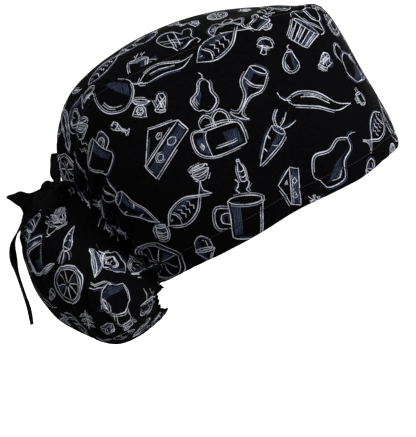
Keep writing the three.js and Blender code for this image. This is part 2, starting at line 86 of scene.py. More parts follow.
# The studio is one round white sweep: a flat floor that turns up into a dome. The camera sees it evenly
# lit, and it keeps no light from the cap.
FLOOR_RADIUS, SWEEP_RADIUS, FLOOR_DEPTH = 1200, 3000, 175
around = np.linspace(0, 2 * np.pi, 96, endpoint=False)
turn = np.linspace(0, np.pi, 33)
profile = np.c_[FLOOR_RADIUS + SWEEP_RADIUS * np.sin(turn), SWEEP_RADIUS * (1 - np.cos(turn))]
rings = [[r * np.cos(a), r * np.sin(a), z - FLOOR_DEPTH] for r, z in profile for a in around]
n = len(around)
walls = [
    [i * n + (k + 1) % n, i * n + k, (i + 1) * n + k, (i + 1) * n + (k + 1) % n]
    for i in range(len(profile) - 1)
    for k in range(n)
]
top = (len(profile) - 1) * n
floor = mesh_object("floor", rings, [list(range(n))] + walls + [[top + k for k in range(n)][::-1]])
paper = bpy.data.materials.new("white studio paper")
paper.use_nodes = True
paper_shader = paper.node_tree.nodes["Principled BSDF"]
paper_shader.inputs["Base Color"].default_value = linear("#f7f7f7")
paper_shader.inputs["Roughness"].default_value = 0.9
paper_shader.inputs["Emission Color"].default_value = (1, 1, 1, 1)
paper_shader.inputs["Emission Strength"].default_value = 0.95
floor.data.materials.append(paper)
for ray in ("diffuse", "glossy", "transmission", "volume_scatter", "shadow"):
    setattr(floor, f"visible_{ray}", False)


def softbox(name, place, size, power):
    """A rectangular lamp at place, size metres wide and high, that faces the cap."""
    light = bpy.data.objects.new(name, bpy.data.lights.new(name, "AREA"))
    light.data.shape = "RECTANGLE"
    light.data.size, light.data.size_y = size
    light.data.energy = power
    light.location = place
    light.rotation_euler = (-Vector(place)).to_track_quat("-Z", "Y").to_euler()
    light.visible_camera = False
    bpy.context.scene.collection.objects.link(light)


softbox("overhead_softbox", (-0.3, -0.5, 1.3), (1.4, 1.4), 12)
softbox("left_softbox", (-1.5, -0.9, 0.6), (1.0, 1.2), 4)
softbox("right_softbox", (1.4, -1.1, 0.5), (1.0, 1.2), 29)
softbox("far_softbox", (0.2, 1.6, 0.7), (1.4, 1.2), 14)
world = bpy.data.worlds.new("studio")
world.use_nodes = True
world.node_tree.nodes["Background"].inputs["Color"].default_value = (1, 1, 1, 1)
world.node_tree.nodes["Background"].inputs["Strength"].default_value = 0.26
bpy.context.scene.world = world

# Front band: the deep panel round the forehead and over the ears, of black cotton with a chalk-line print.
# It is sewn to the crown panel along its top, and its back edges are gathered into the casings.
OPENING_REACH, OPENING_HALF_WIDTH, OPENING_RISE = 86, 77, 50.3
CROWN_HEIGHT, SEAM_HALF_WIDTH, BACK_REACH = 153.5, 66, 160
SIDE_FULLNESS = 26
HEM_WIDTH, CASING_WIDTH = 10, 9
CLOTH_WALL, HEM_WALL = 1.1, 2.0
GATHER_DEPTH = 2.4
# A row for each section from the forehead to the back edge. hem and seam are shares of the sizes above,
# full shows how far the section stands out and square how square its shoulders are.
SECTIONS = {
    "hem_x": (1.0, 0.95, 0.83, 0.64, 0.38, 0.09, -0.21, -0.49, -0.72, -0.885, -1.0),
    "hem_y": (0.0, 0.3, 0.57, 0.79, 0.93, 1.0, 1.0, 0.935, 0.79, 0.635, 0.48),
    "hem_z": (1.0, 0.92, 0.76, 0.51, 0.28, 0.04, -0.28, -0.54, -0.73, -0.88, -0.98),
    "seam_x": (0.169, 0.159, 0.131, 0.0625, -0.094, -0.3, -0.5125, -0.7, -0.8625, -0.94, -0.954),
    "seam_y": (0.0, 0.273, 0.545, 0.742, 0.879, 0.955, 1.0, 0.97, 0.833, 0.636, 0.303),
    "seam_z": (1.0, 0.998, 0.987, 0.961, 0.922, 0.831, 0.739, 0.648, 0.547, 0.378, 0.147),
    "full_x": (0.16, 0.16, 0.16, 0.13, 0.07, 0.0, 0.0, -0.04, -0.08, -0.12, -0.04),
    "full_y": (0.0, 0.08, 0.2, 0.38, 0.5, 0.56, 0.6, 0.76, 0.97, 1.0, 0.76),
    "full_z": (0.09, 0.09, 0.08, 0.05, 0.03, 0.0, 0.0, 0.0, 0.0, 0.0, 0.08),
    "square": (5.0, 4.8, 4.4, 3.8, 3.1, 2.7, 2.5, 2.4, 2.3, 2.2, 2.2),
    "rise": (0.0, 0.0, 0.0, 0.18, 0.41, 0.87, 1.0, 0.86, 0.64, 0.52, 0.4),
}


def column(table, name, share, mirror=1):
    """Catmull-Rom through a column at share 0 to 1 of its rows, and straight on beyond the last.

    The row before the first is the second one times mirror, or for mirror 0 a straight step back.
    """
    rows = np.asarray(table[name], float)
    first = mirror * rows[1] if mirror else 2 * rows[0] - rows[1]
    rows = np.concatenate([[first], rows, [2 * rows[-1] - rows[-2]]])
    place = np.clip(share, 0, 1) * (len(rows) - 3)
    i = np.minimum(place.astype(int), len(rows) - 4)
    t = place - i
    a, b, c, d = rows[i], rows[i + 1], rows[i + 2], rows[i + 3]
    beyond = np.maximum(share - 1, 0) * (len(rows) - 3) * (rows[-2] - rows[-3])
    return b + beyond + 0.5 * t * (c - a + t * (2 * a - 5 * b + 4 * c - d + t * (3 * (b - c) + d - a)))


def ramp(x, low, high):
    """The smooth step 3t^2 - 2t^3 of t, from 0 at low to 1 at high."""
    t = np.clip((x - low) / (high - low), 0, 1)
    return t * t * (3 - 2 * t)


def waves(x, y, length, seed):
    """Soft unevenness from -1 to 1: eight sines of about that length in mm, in seeded directions."""
    draw = np.random.default_rng(seed)
    total = np.zeros_like(x)
    for _ in range(8):
        angle, phase, scale = draw.uniform(0, np.pi), draw.uniform(0, 2 * np.pi), draw.uniform(0.7, 1.5)
        total += np.sin(2 * np.pi * (x * np.cos(angle) + y * np.sin(angle)) / (length * scale) + phase)
    return total / 4


def cut_line(which, u):
    """The hem or the crown seam, u from -1 at the right back over the forehead to 1 at the left back."""
    share, side = np.abs(u), np.sign(u)
    sizes = {
        "hem": (OPENING_REACH, OPENING_HALF_WIDTH, OPENING_RISE),
        "seam": (BACK_REACH, SEAM_HALF_WIDTH, CROWN_HEIGHT),
    }[which]
    x, y, z = (column(SECTIONS, f"{which}_{axis}", share, -1 if axis == "y" else 1) for axis in "xyz")
    return np.stack([x * sizes[0], y * side * sizes[1], z * sizes[2]], -1)


def band(u, v, folds=True):
    """Straight from hem to seam, plus full * (1 - |2v - 1| ^ square), plus gathers at the back edges."""
    share, side = np.abs(u), np.sign(u)
    swell = 1 - np.minimum(np.abs(2 * v - 1), 1) ** column(SECTIONS, "square", share)
    full = np.stack([column(SECTIONS, f"full_{axis}", share, -1 if axis == "y" else 1) for axis in "xyz"], -1)
    full[..., 1] *= side
    point = cut_line("hem", u) * (1 - v)[..., None] + cut_line("seam", u) * v[..., None]
    point += full * (swell * SIDE_FULLNESS)[..., None]
    if folds:
        across, along = v * 130, u * 250
        near_back = ramp(share, 0.72, 0.97) * ramp(swell, 0, 0.4)
        drift = 1.3 * np.sin(5 * v) + 0.35 * waves(along, across, 60, 3)
        ridge = np.sin(14 * np.pi * v + drift) * GATHER_DEPTH * near_back
        fine = 0.7 * np.sin(38 * np.pi * v + 3 * waves(along, across, 45, 4)) * ramp(share, 0.84, 0.99)
        way = np.stack([np.full_like(u, -0.45), 0.8 * side, np.full_like(u, -0.4)], -1)
        point += way * (ridge + fine * ramp(swell, 0, 0.3))[..., None]
        soft = 0.9 * waves(along, across, 70, 5) + 0.4 * waves(along, across, 32, 6)
        pucker = 0.45 * np.sin(along * 0.62 + 2 * waves(along, across, 50, 7)) * (ramp(v, 0.86, 0.99))
        ripple = 0.5 * np.sin(along * 0.4 + 2 * waves(along, across, 60, 8)) * (1 - ramp(v, 0.06, 0.22))
        inside = ramp(v, 0, 0.2) * ramp(1 - v, 0, 0.12)
        out = np.stack([0.5 * np.cos(share * 2.6), side * np.sin(share * 2.6), np.full_like(u, 0.1)], -1)
        point += out * (soft * inside + (pucker + ripple) * 0.8)[..., None]
    return point


def normals(surface, u, v, turn, reach=2e-3):
    """The unit normals of a surface at (u, v), turned outwards, from its slopes on both sides."""
    along_u = surface(u + reach, v) - surface(u - reach, v)
    along_v = surface(u, v + reach) - surface(u, v - reach)
    out = turn * np.cross(along_u, along_v)
    return out / np.maximum(np.linalg.norm(out, axis=-1, keepdims=True), 1e-12)


# The print: chalk drawings of kitchen things on black, with a fainter stroke beside each longer line and
# a blue-grey wash. Each drawing is a list of lines and a list of washes, from -1 to 1 both ways.
def arc(cx, cy, rx, ry=None, start=0, end=360):
    """An elliptic arc from start to end in degrees, with a point every 16 degrees or so."""
    t = np.radians(np.linspace(start, end, max(6, int(abs(end - start) / 16))))
    return np.c_[cx + rx * np.cos(t), cy + (ry or rx) * np.sin(t)]


def bend(*points):
    """A smooth curve through the points."""
    points = np.array(points, float)
    table = {"x": points[:, 0], "y": points[:, 1]}
    share = np.linspace(0, 1, 5 * (len(points) - 1) + 1)
    return np.c_[column(table, "x", share, 0), column(table, "y", share, 0)]


def vessel(*profile, tilt=0.28):
    """Both sides of a turned thing with rows of radius and height from its foot up, its rim and its foot."""
    side = bend(*profile)
    left = side * (-1, 1)
    (foot, low), (rim, high) = profile[0], profile[-1]
    lines = [side, left, arc(0, high, rim, rim * tilt), arc(0, low, foot, foot * tilt, 180, 360)]
    wash = np.vstack([side * (0.85, 0.94), (side * (0.3, 0.9))[::-1]])
    return lines, [wash]


def drawn(*lines, wash=()):
    """A drawing from its lines and the corners of its washes."""
    return list(lines), [np.array(corners) for corners in wash]


def plus(base, *lines, wash=()):
    """A drawing with more lines and washes added to it."""
    more_lines, more_washes = drawn(*lines, wash=wash)
    return base[0] + more_lines, base[1] + more_washes


MOTIFS = [
    plus(  # mug with steam
        vessel((0.42, -0.62), (0.46, 0.0), (0.5, 0.42)),
        bend((0.47, 0.22), (0.86, 0.2), (0.82, -0.3), (0.43, -0.38)),
        bend((0.48, 0.08), (0.7, 0.06), (0.68, -0.2), (0.45, -0.24)),
        bend((-0.15, 0.62), (-0.05, 0.74), (-0.17, 0.86), (-0.06, 1.0)),
        bend((0.15, 0.62), (0.25, 0.74), (0.13, 0.86), (0.24, 1.0)),
    ),
    plus(  # teapot
        vessel((0.32, -0.6), (0.6, -0.2), (0.5, 0.18), (0.26, 0.3), tilt=0.22),
        bend((0.56, -0.3), (0.8, -0.05), (0.86, 0.22), (1.0, 0.3)),
        bend((0.56, 0.02), (0.68, 0.14), (0.74, 0.36), (0.88, 0.42)),
        bend((-0.5, 0.16), (-0.92, 0.26), (-0.95, -0.2), (-0.56, -0.34)),
        arc(0, 0.46, 0.09),
        bend((-0.26, 0.3), (0, 0.42), (0.26, 0.3)),
    ),
    plus(  # jam jar
        vessel((0.44, -0.75), (0.5, -0.6), (0.5, 0.2), (0.36, 0.42)),
        *vessel((0.4, 0.46), (0.4, 0.68))[0][:2],
        arc(0, 0.68, 0.4, 0.11),
        arc(0, 0.46, 0.4, 0.11, 180, 360),
        bend((-0.5, -0.1), (0, -0.24), (0.5, -0.1)),
        bend((-0.5, -0.5), (0, -0.64), (0.5, -0.5)),
    ),
    plus(  # bottle
        vessel((0.26, -1.0), (0.28, -0.8), (0.28, 0.1), (0.12, 0.42), (0.11, 0.9)),
        bend((-0.28, -0.1), (0, -0.18), (0.28, -0.1)),
        bend((-0.28, -0.6), (0, -0.68), (0.28, -0.6)),
        arc(0, 0.78, 0.13, 0.05, 180, 360),
    ),
    plus(  # stemmed glass
        vessel((0.34, -0.92), (0.05, -0.84), (0.05, -0.2), (0.36, 0.2), (0.32, 0.8), tilt=0.25),
        bend((-0.37, 0.36), (0, 0.24), (0.37, 0.36)),
    ),
    plus(  # cupcake
        vessel((0.32, -0.7), (0.36, -0.4), (0.44, -0.05), tilt=0.18),
        bend((-0.5, 0.0), (-0.56, 0.2), (-0.3, 0.4), (-0.24, 0.62), (0.04, 0.86)),
        bend((0.5, 0.0), (0.56, 0.2), (0.3, 0.4), (0.26, 0.6), (0.04, 0.86)),
        bend((-0.5, 0.2), (0, 0.06), (0.5, 0.22)),
        bend((-0.3, 0.46), (0, 0.32), (0.3, 0.42)),
        *[bend((x * 0.32 / 0.44, -0.72), (x, -0.1)) for x in (-0.3, -0.15, 0.0, 0.15, 0.3)],
        arc(0.05, 0.94, 0.08),
    ),
    drawn(  # apple
        bend((0, 0.46), (-0.3, 0.62), (-0.66, 0.3), (-0.52, -0.4), (-0.2, -0.7), (0, -0.6)),
        bend((0, 0.46), (0.3, 0.62), (0.66, 0.3), (0.52, -0.4), (0.2, -0.7), (0, -0.6)),
        bend((0, 0.4), (0.04, 0.62), (0.14, 0.84)),
        bend((0.08, 0.66), (0.3, 0.9), (0.5, 0.82), (0.3, 0.66), (0.08, 0.66)),
        wash=[np.vstack([bend((0.2, 0.44), (0.55, 0.25), (0.42, -0.4), (0.1, -0.55)), [[0.2, -0.2]]])],
    ),
    drawn(  # pear
        bend((0.04, 0.72), (-0.26, 0.5), (-0.3, 0.1), (-0.6, -0.3), (-0.3, -0.78), (0.0, -0.76)),
        bend((0.04, 0.72), (0.28, 0.52), (0.28, 0.1), (0.58, -0.3), (0.3, -0.78), (0.0, -0.76)),
        bend((0.04, 0.7), (0.06, 0.86), (0.2, 1.0)),
        bend((0.26, -0.56), (0.42, -0.36), (0.34, -0.1)),
        wash=[np.vstack([bend((0.2, 0.5), (0.2, 0.05), (0.46, -0.3), (0.2, -0.66)), [[0.08, -0.1]]])],
    ),
    drawn(  # carrot
        bend((-0.26, 0.36), (-0.24, -0.1), (-0.08, -0.7), (0.02, -1.0)),
        bend((0.26, 0.36), (0.26, -0.1), (0.12, -0.7), (0.02, -1.0)),
        arc(0, 0.36, 0.26, 0.1),
        bend((-0.04, 0.4), (-0.3, 0.66), (-0.34, 0.96)),
        bend((0, 0.42), (0.02, 0.7), (-0.04, 1.0)),
        bend((0.04, 0.4), (0.28, 0.64), (0.36, 0.92)),
        bend((-0.22, 0.0), (-0.1, -0.06)),
        bend((0.22, -0.14), (0.06, -0.2)),
        bend((-0.14, -0.42), (0.0, -0.48)),
        wash=[[(0.02, 0.2), (0.2, 0.3), (0.2, -0.1), (0.06, -0.7), (0.02, -0.3)]],
    ),
    drawn(  # chilli
        bend((-0.6, 0.5), (-0.3, 0.44), (0.1, 0.1), (0.4, -0.5), (0.8, -0.76)),
        bend((-0.72, 0.24), (-0.5, 0.06), (-0.14, -0.24), (0.24, -0.66), (0.8, -0.76)),
        bend((-0.6, 0.5), (-0.8, 0.48), (-0.72, 0.24)),
        bend((-0.72, 0.4), (-0.86, 0.56), (-0.86, 0.8)),
        bend((-0.4, 0.3), (-0.06, 0.02), (0.2, -0.36)),
    ),
    drawn(  # mushroom
        bend((-0.72, 0.04), (-0.5, 0.56), (0, 0.72), (0.5, 0.56), (0.72, 0.04)),
        bend((-0.72, 0.04), (-0.3, -0.12), (0.3, -0.12), (0.72, 0.04)),
        bend((-0.22, -0.1), (-0.18, -0.4), (-0.26, -0.76)),
        bend((0.22, -0.1), (0.2, -0.4), (0.28, -0.76)),
        bend((-0.26, -0.76), (0, -0.84), (0.28, -0.76)),
        *[bend((x * 0.5, 0.06), (x, -0.05)) for x in (-0.4, -0.2, 0.0, 0.2, 0.4)],
        wash=[[(0.1, 0.2), (0.2, 0.58), (0.5, 0.42), (0.62, 0.1)]],
    ),
    drawn(  # lemon slice
        arc(0, 0, 0.74),
        arc(0, 0, 0.62),
        *[np.array([(0.08 * np.cos(a), 0.08 * np.sin(a)), (0.56 * np.cos(a), 0.56 * np.sin(a))])
          for a in np.radians(np.arange(10, 370, 45))],
        wash=[[(0.1, 0.06), (0.5, 0.12), (0.42, 0.34)], [(-0.1, -0.1), (-0.5, -0.1), (-0.4, -0.36)]],
    ),
    drawn(  # fish
        bend((-0.95, 0.02), (-0.5, 0.36), (0.1, 0.34), (0.52, 0.04), (0.92, -0.26)),
        bend((-0.95, 0.02), (-0.5, -0.32), (0.1, -0.3), (0.52, -0.02), (0.92, 0.3)),
        bend((0.92, 0.3), (0.78, 0.02), (0.92, -0.26)),
        bend((-0.56, 0.26), (-0.44, 0.0), (-0.56, -0.24)),
        arc(-0.72, 0.08, 0.05),
        *[arc(x, y, 0.09, 0.1, -80, 80) for x in (-0.3, -0.1, 0.1) for y in (-0.08, 0.1)],
        wash=[[(-0.4, 0.3), (0.1, 0.28), (0.4, 0.08), (-0.3, 0.14)]],
    ),
    drawn(  # leafy sprig
        bend((-0.1, -1.0), (0.0, -0.4), (-0.04, 0.3), (0.06, 0.95)),
        *[bend((0, y), (s * 0.28, y + 0.3), (s * 0.5, y + 0.34), (s * 0.34, y + 0.06), (0, y))
          for y in (-0.6, -0.15, 0.3) for s in (-1, 1)],
        wash=[[(0.04, y + 0.04), (0.26, y + 0.24), (0.44, y + 0.3), (0.3, y + 0.1)]
              for y in (-0.6, -0.15, 0.3)],
    ),
    drawn(  # cheese wedge
        bend((-0.8, -0.2), (0.0, 0.5)),
        bend((0.0, 0.5), (0.8, 0.1)),
        bend((-0.8, -0.2), (0.8, 0.1)),
        bend((-0.8, -0.2), (-0.8, -0.62)),
        bend((0.8, 0.1), (0.8, -0.3)),
        bend((-0.8, -0.62), (0.8, -0.3)),
        arc(-0.3, -0.3, 0.12, 0.09),
        arc(0.25, -0.2, 0.16, 0.11),
        arc(0.1, 0.16, 0.12, 0.07),
        wash=[[(-0.74, -0.3), (0.74, 0.0), (0.74, -0.26), (-0.74, -0.56)]],
    ),
    drawn(  # oven mitt
        bend((-0.4, -0.66), (-0.46, 0.1), (-0.34, 0.66), (0.04, 0.82), (0.34, 0.6), (0.38, 0.1)),
        bend((0.38, 0.1), (0.6, 0.3), (0.78, 0.14), (0.62, -0.16), (0.4, -0.4), (0.38, -0.66)),
        bend((-0.46, -0.66), (0, -0.74), (0.44, -0.66)),
        bend((-0.46, -0.9), (0, -0.98), (0.44, -0.9)),
        bend((-0.46, -0.66), (-0.46, -0.9)),
        bend((0.44, -0.66), (0.44, -0.9)),
        *[bend((-0.4 + d, -0.5), (0.1 + d, 0.6)) for d in (0.0, 0.26)],
        *[bend((0.3 - d, -0.5), (-0.36, 0.5 - d)) for d in (0.0, 0.3)],
    ),
    drawn(  # toaster with two slices
        bend((-0.8, -0.5), (-0.84, 0.0), (-0.7, 0.3), (0.3, 0.34)),
        bend((0.3, 0.34), (0.44, 0.1), (0.4, -0.55)),
        bend((-0.8, -0.5), (-0.2, -0.56), (0.4, -0.55), (0.8, -0.3), (0.86, 0.1), (0.74, 0.42), (0.3, 0.34)),
        bend((-0.7, 0.3), (-0.3, 0.44), (0.74, 0.42)),
        bend((-0.5, 0.36), (-0.52, 0.66), (-0.3, 0.84), (-0.04, 0.66), (-0.06, 0.38)),
        bend((0.02, 0.38), (0.0, 0.7), (0.22, 0.88), (0.46, 0.7), (0.44, 0.4)),
        bend((-0.56, -0.3), (-0.2, -0.34), (0.2, -0.3)),
        arc(0.62, -0.1, 0.07, 0.12),
        wash=[[(-0.7, -0.42), (-0.7, 0.1), (-0.2, 0.12), (-0.2, -0.48)],
              [(0.5, 0.2), (0.46, -0.46), (0.74, -0.24), (0.76, 0.2)]],
    ),
    plus(  # stack of bowls
        vessel((0.3, -0.8), (0.5, -0.6), (0.86, -0.05), tilt=0.2),
        bend((-0.78, 0.14), (-0.84, 0.3), (-0.8, 0.36)),
        bend((0.78, 0.14), (0.84, 0.3), (0.8, 0.36)),
        arc(0, 0.36, 0.8, 0.17),
        arc(0, 0.3, 0.6, 0.09, 180, 360),
        bend((-0.7, -0.24), (0, -0.42), (0.7, -0.24)),
        wash=[np.vstack([arc(0, 0.36, 0.62, 0.12, 180, 360), [(0.4, 0.44), (-0.4, 0.44)]])],
    ),
    plus(  # egg in its cup
        vessel((0.34, -0.9), (0.1, -0.6), (0.14, -0.4), (0.46, 0.1), tilt=0.22),
        bend((-0.4, 0.16), (-0.34, 0.56), (0, 0.84), (0.34, 0.56), (0.4, 0.16)),
        bend((-0.2, 0.3), (-0.16, 0.5), (-0.04, 0.62)),
        wash=[[(0.1, 0.1), (0.14, 0.66), (0.3, 0.5), (0.36, 0.14)]],
    ),
    drawn(  # scales with a round dial
        bend((-0.66, -0.8), (-0.5, -0.1), (-0.26, 0.2), (0.26, 0.2), (0.5, -0.1), (0.66, -0.8)),
        bend((-0.66, -0.8), (0, -0.86), (0.66, -0.8)),
        arc(0, -0.3, 0.34),
        arc(0, -0.3, 0.26),
        bend((0, -0.3), (0.14, -0.12)),
        bend((-0.8, 0.66), (-0.5, 0.34), (0, 0.26), (0.5, 0.34), (0.8, 0.66)),
        arc(0, 0.66, 0.8, 0.13),
        bend((-0.1, 0.26), (-0.1, 0.18)),
        bend((0.1, 0.26), (0.1, 0.18)),
        wash=[[(-0.6, 0.6), (-0.4, 0.4), (0, 0.34), (0.4, 0.4), (0.6, 0.6)],
              [(0.4, -0.74), (0.4, -0.3), (0.3, 0.0), (0.42, 0.0), (0.58, -0.7)]],
    ),
    drawn(  # crate of eggs seen from a corner
        bend((-0.9, 0.1), (-0.1, -0.3), (0.9, 0.16)),
        bend((-0.9, 0.1), (0.0, 0.56), (0.9, 0.16)),
        bend((-0.9, 0.1), (-0.8, -0.42), (-0.08, -0.86)),
        bend((-0.08, -0.86), (-0.1, -0.3)),
        bend((-0.08, -0.86), (0.8, -0.4), (0.9, 0.16)),
        *[arc(x, y, 0.2, 0.17) for x, y in ((-0.5, 0.14), (-0.05, -0.04), (0.42, 0.16), (0.0, 0.34))],
        wash=[[(-0.02, -0.78), (-0.04, -0.34), (0.8, 0.04), (0.72, -0.36)],
              [(-0.78, -0.02), (-0.7, -0.38), (-0.5, -0.5), (-0.56, -0.12)]],
    ),
    drawn(  # aubergine
        bend((-0.1, 0.6), (-0.44, 0.2), (-0.6, -0.4), (-0.3, -0.86), (0.2, -0.84), (0.5, -0.5), (0.4, 0.0)),
        bend((0.4, 0.0), (0.3, 0.3), (0.22, 0.56)),
        bend((-0.2, 0.5), (-0.04, 0.42), (0.04, 0.56), (0.16, 0.42), (0.28, 0.5)),
        bend((-0.12, 0.6), (0.06, 0.74), (0.24, 0.58)),
        bend((0.04, 0.72), (0.0, 0.92), (0.12, 1.0)),
        bend((-0.36, -0.1), (-0.42, -0.44), (-0.24, -0.68)),
        wash=[[(0.1, 0.36), (0.06, -0.3), (0.1, -0.76), (0.4, -0.48), (0.3, 0.0), (0.2, 0.36)]],
    ),
]


def on_cloth(surface, centres, offsets):
    """The (u, v) of points offsets mm from centres, laid flat on the cloth there, by Newton's method."""
    reach = 1e-4

    def slopes(at):
        """How far the surface runs for each unit of u and of v."""
        u, v = at.T
        along_u = (surface(u + reach, v) - surface(u - reach, v)) / (2 * reach)
        along_v = (surface(u, v + reach) - surface(u, v - reach)) / (2 * reach)
        return along_u, along_v

    origin = surface(centres[:, 0], centres[:, 1])
    du, dv = slopes(centres)
    right = du / np.linalg.norm(du, axis=1, keepdims=True)
    up = dv - right * (dv * right).sum(1, keepdims=True)
    up /= np.linalg.norm(up, axis=1, keepdims=True)
    at = centres.copy()
    for _ in range(5):
        gap = surface(at[:, 0], at[:, 1]) - origin
        miss = offsets - np.c_[(gap * right).sum(1), (gap * up).sum(1)]
        du, dv = slopes(at)
        a, b, c, d = ((s * w).sum(1) for s, w in ((du, right), (dv, right), (du, up), (dv, up)))
        det = a * d - b * c
        det = np.where(np.abs(det) < 1e-6, 1e-6, det)
        step = np.c_[miss[:, 0] * d - miss[:, 1] * b, miss[:, 1] * a - miss[:, 0] * c] / det[:, None]
        at = np.clip(at + np.clip(step, -0.15, 0.15), -1.15, 1.15)
    return at


# Each drawing is dropped this many times at most, and comes no nearer to another than this share of the
# sum of their sizes.
TRIES, NEAREST = 150, 0.88


def scatter(shape, us, vs, seed, sizes):
    """Places for drawings, dropped at random on the cloth and kept where they clear those already there."""
    draw = np.random.default_rng(seed)
    tries = draw.uniform((us[0], vs[0]), (us[1], vs[1]), (len(sizes) * TRIES, 2))
    spots = shape(tries[:, 0], tries[:, 1], False)
    kept, radii, places = np.zeros((0, 3)), np.zeros(0), []
    for i, size in enumerate(np.repeat(sizes, TRIES)):
        if len(places) > i // TRIES:
            continue
        if np.all(np.linalg.norm(kept - spots[i], axis=1) > NEAREST * (size + radii)):
            kept, radii = np.vstack([kept, spots[i]]), np.append(radii, size)
            places.append((tries[i], size, draw.uniform(-1.1, 1.1)))
    return places


WASH, HATCHING, LINE = 1, 2, 3
LINE_WIDTHS, FAINT_WIDTHS, HATCHING_WIDTHS = (0.39, 0.6), (0.21, 0.35), (0.22, 0.42)
# A print triangle with an edge this much longer on the cloth than 1.4 times its own is torn and left out.
TORN = 0.8


def beside(path):
    """The unit vectors square to a path, at its points."""
    heading = np.gradient(path, axis=0)
    return np.c_[-heading[:, 1], heading[:, 0]] / (np.linalg.norm(heading, axis=1, keepdims=True) + 1e-9)


def strokes(surface, places, seed, low, high, scale):
    """The print on a cloth: (u, v) of every corner, its triangles, and what each of them is part of."""
    centres, offsets, polygons, tags, shapes = [], [], [], [], []
    count = 0

    def put(points, rows, tag, uv):
        nonlocal count
        offsets.append(points)
        centres.append(np.tile(uv, (len(points), 1)))
        polygons.extend((np.asarray(rows) + count).tolist())
        tags.extend([tag] * len(rows))
        shapes.extend([len(offsets)] * len(rows))
        count += len(points)

    def ribbon(path, weight, tag, uv, step=3.0):
        """A brush line in even steps, as wide as weight in its middle and tapered at both ends."""
        along = np.r_[0, np.cumsum(np.linalg.norm(np.diff(path, axis=0), axis=1))]
        if along[-1] < 0.8:
            return
        k = max(3, int(along[-1] / step) + 1)
        share = np.linspace(0, 1, k)
        path = np.c_[[np.interp(share * along[-1], along, path[:, i]) for i in (0, 1)]].T
        side = beside(path)
        width = weight * (0.35 + 0.65 * np.sin(np.pi * np.clip(share, 0.08, 0.92)) ** 0.5)
        width *= 1 + 0.35 * np.sin(share * draw.uniform(9, 22) + draw.uniform(0, 6))
        rim = np.vstack([path + side * width[:, None] / 2, path - side * width[:, None] / 2])
        i = np.arange(k - 1)
        put(rim, np.vstack([np.c_[i, k + i, k + i + 1], np.c_[i, k + i + 1, i + 1]]), tag, uv)

    def hatch(shape, uv):
        """Parallel strokes clipped to a shape: each runs between two crossings of its outline."""
        lean = draw.uniform(0.5, 1.4)
        to_hatch = np.array([[np.cos(lean), -np.sin(lean)], [np.sin(lean), np.cos(lean)]])
        turned = shape @ to_hatch
        following = np.roll(turned, -1, axis=0)
        for level in np.arange(turned[:, 1].min() + 0.5, turned[:, 1].max(), draw.uniform(1.1, 1.5)):
            cuts = (turned[:, 1] < level) != (following[:, 1] < level)
            if cuts.sum() != 2 or draw.random() < 0.15:
                continue
            p, q = turned[cuts], following[cuts]
            ends = np.sort(p[:, 0] + (level - p[:, 1]) / (q[:, 1] - p[:, 1]) * (q[:, 0] - p[:, 0]))
            spare = (ends[1] - ends[0]) * draw.uniform(0, 0.3, 2)
            tilt = draw.uniform(-0.2, 0.2)
            line = np.array([[ends[0] + spare[0], level], [ends[1] - spare[1], level + tilt]])
            ribbon(line @ to_hatch.T, draw.uniform(*HATCHING_WIDTHS), HATCHING, uv, 30)

    spots = surface(*np.array([uv for uv, _, _ in places]).reshape(-1, 2).T)
    chosen = []
    for i, (uv, size, angle) in enumerate(places):
        # Each place takes the drawing whose nearest copy is furthest away.
        draw = np.random.default_rng([seed, i])
        apart = draw.uniform(60, 90, len(MOTIFS))
        for j, motif in enumerate(chosen):
            apart[motif] = min(apart[motif], np.linalg.norm(spots[i] - spots[j]))
        chosen.append(int(apart.argmax()))
        lines, washes = MOTIFS[chosen[-1]]
        if np.any(uv * scale + 1.6 * size < low * scale) or np.any(uv * scale - 1.6 * size > high * scale):
            continue
        flip = np.array((draw.choice((-1, 1)), 1))
        spin = np.array([[np.cos(angle), np.sin(angle)], [-np.sin(angle), np.cos(angle)]])
        for wash in washes:
            shape = (wash * flip) @ spin * size
            put(shape, tessellate_polygon([[Vector((*p, 0)) for p in shape.tolist()]]), WASH, uv)
            hatch(shape, uv)
        for line in lines:
            path = (line * flip) @ spin * size
            length = np.linalg.norm(np.diff(path, axis=0), axis=1).sum()
            sway = np.linspace(0, draw.uniform(4, 9), len(path)) + draw.uniform(0, 6)
            path = path + np.sin(sway)[:, None] * 0.22
            ribbon(path, draw.uniform(*LINE_WIDTHS), LINE, uv)
            if length < 7:
                continue
            # A fainter line runs a little inside or outside the first, over part of it.
            side = beside(path)
            first, last = sorted(draw.uniform(0, 1, 2))
            first, last = first * 0.4, 1 - (1 - last) * 0.4
            part = slice(int(first * len(path)), max(int(last * len(path)), int(first * len(path)) + 3))
            shift = draw.choice((-1, 1)) * draw.uniform(1.1, 1.7)
            if len(path[part]) > 2:
                weight = draw.uniform(*FAINT_WIDTHS)
                tag = LINE if draw.random() < 0.6 else HATCHING
                ribbon((path + side * shift)[part], weight, tag, uv)
                ribbon((path + side * shift / 2)[part], abs(shift) * 0.7, WASH, uv)
    if not count:
        return np.zeros((0, 2)), np.zeros((0, 3), int), np.zeros(0, int)
    offsets, polygons, tags, shapes = np.vstack(offsets), np.array(polygons), np.array(tags), np.array(shapes)
    at = on_cloth(surface, np.vstack(centres), offsets)
    laid = surface(at[:, 0], at[:, 1])[polygons]
    wanted = offsets[polygons]
    stretch = np.linalg.norm(laid - np.roll(laid, 1, axis=1), axis=2)
    stretch = stretch - 1.4 * np.linalg.norm(wanted - np.roll(wanted, 1, axis=1), axis=2)
    kept = stretch.max(1) < TORN
    # A wash goes as a whole, because what stays of a torn one reads as a hair on the cloth.
    kept &= (tags > WASH) | ~np.isin(shapes, shapes[~kept])
    return at, polygons[kept], tags[kept]


# In mm: the squares in which the plain grid gives way to the print, how far a panel's outer face sinks at
# its edges and how far in from them it does.
PRINT_SQUARE, EDGE_SINK, EDGE_FALL = 0.8, 0.8, 1.9


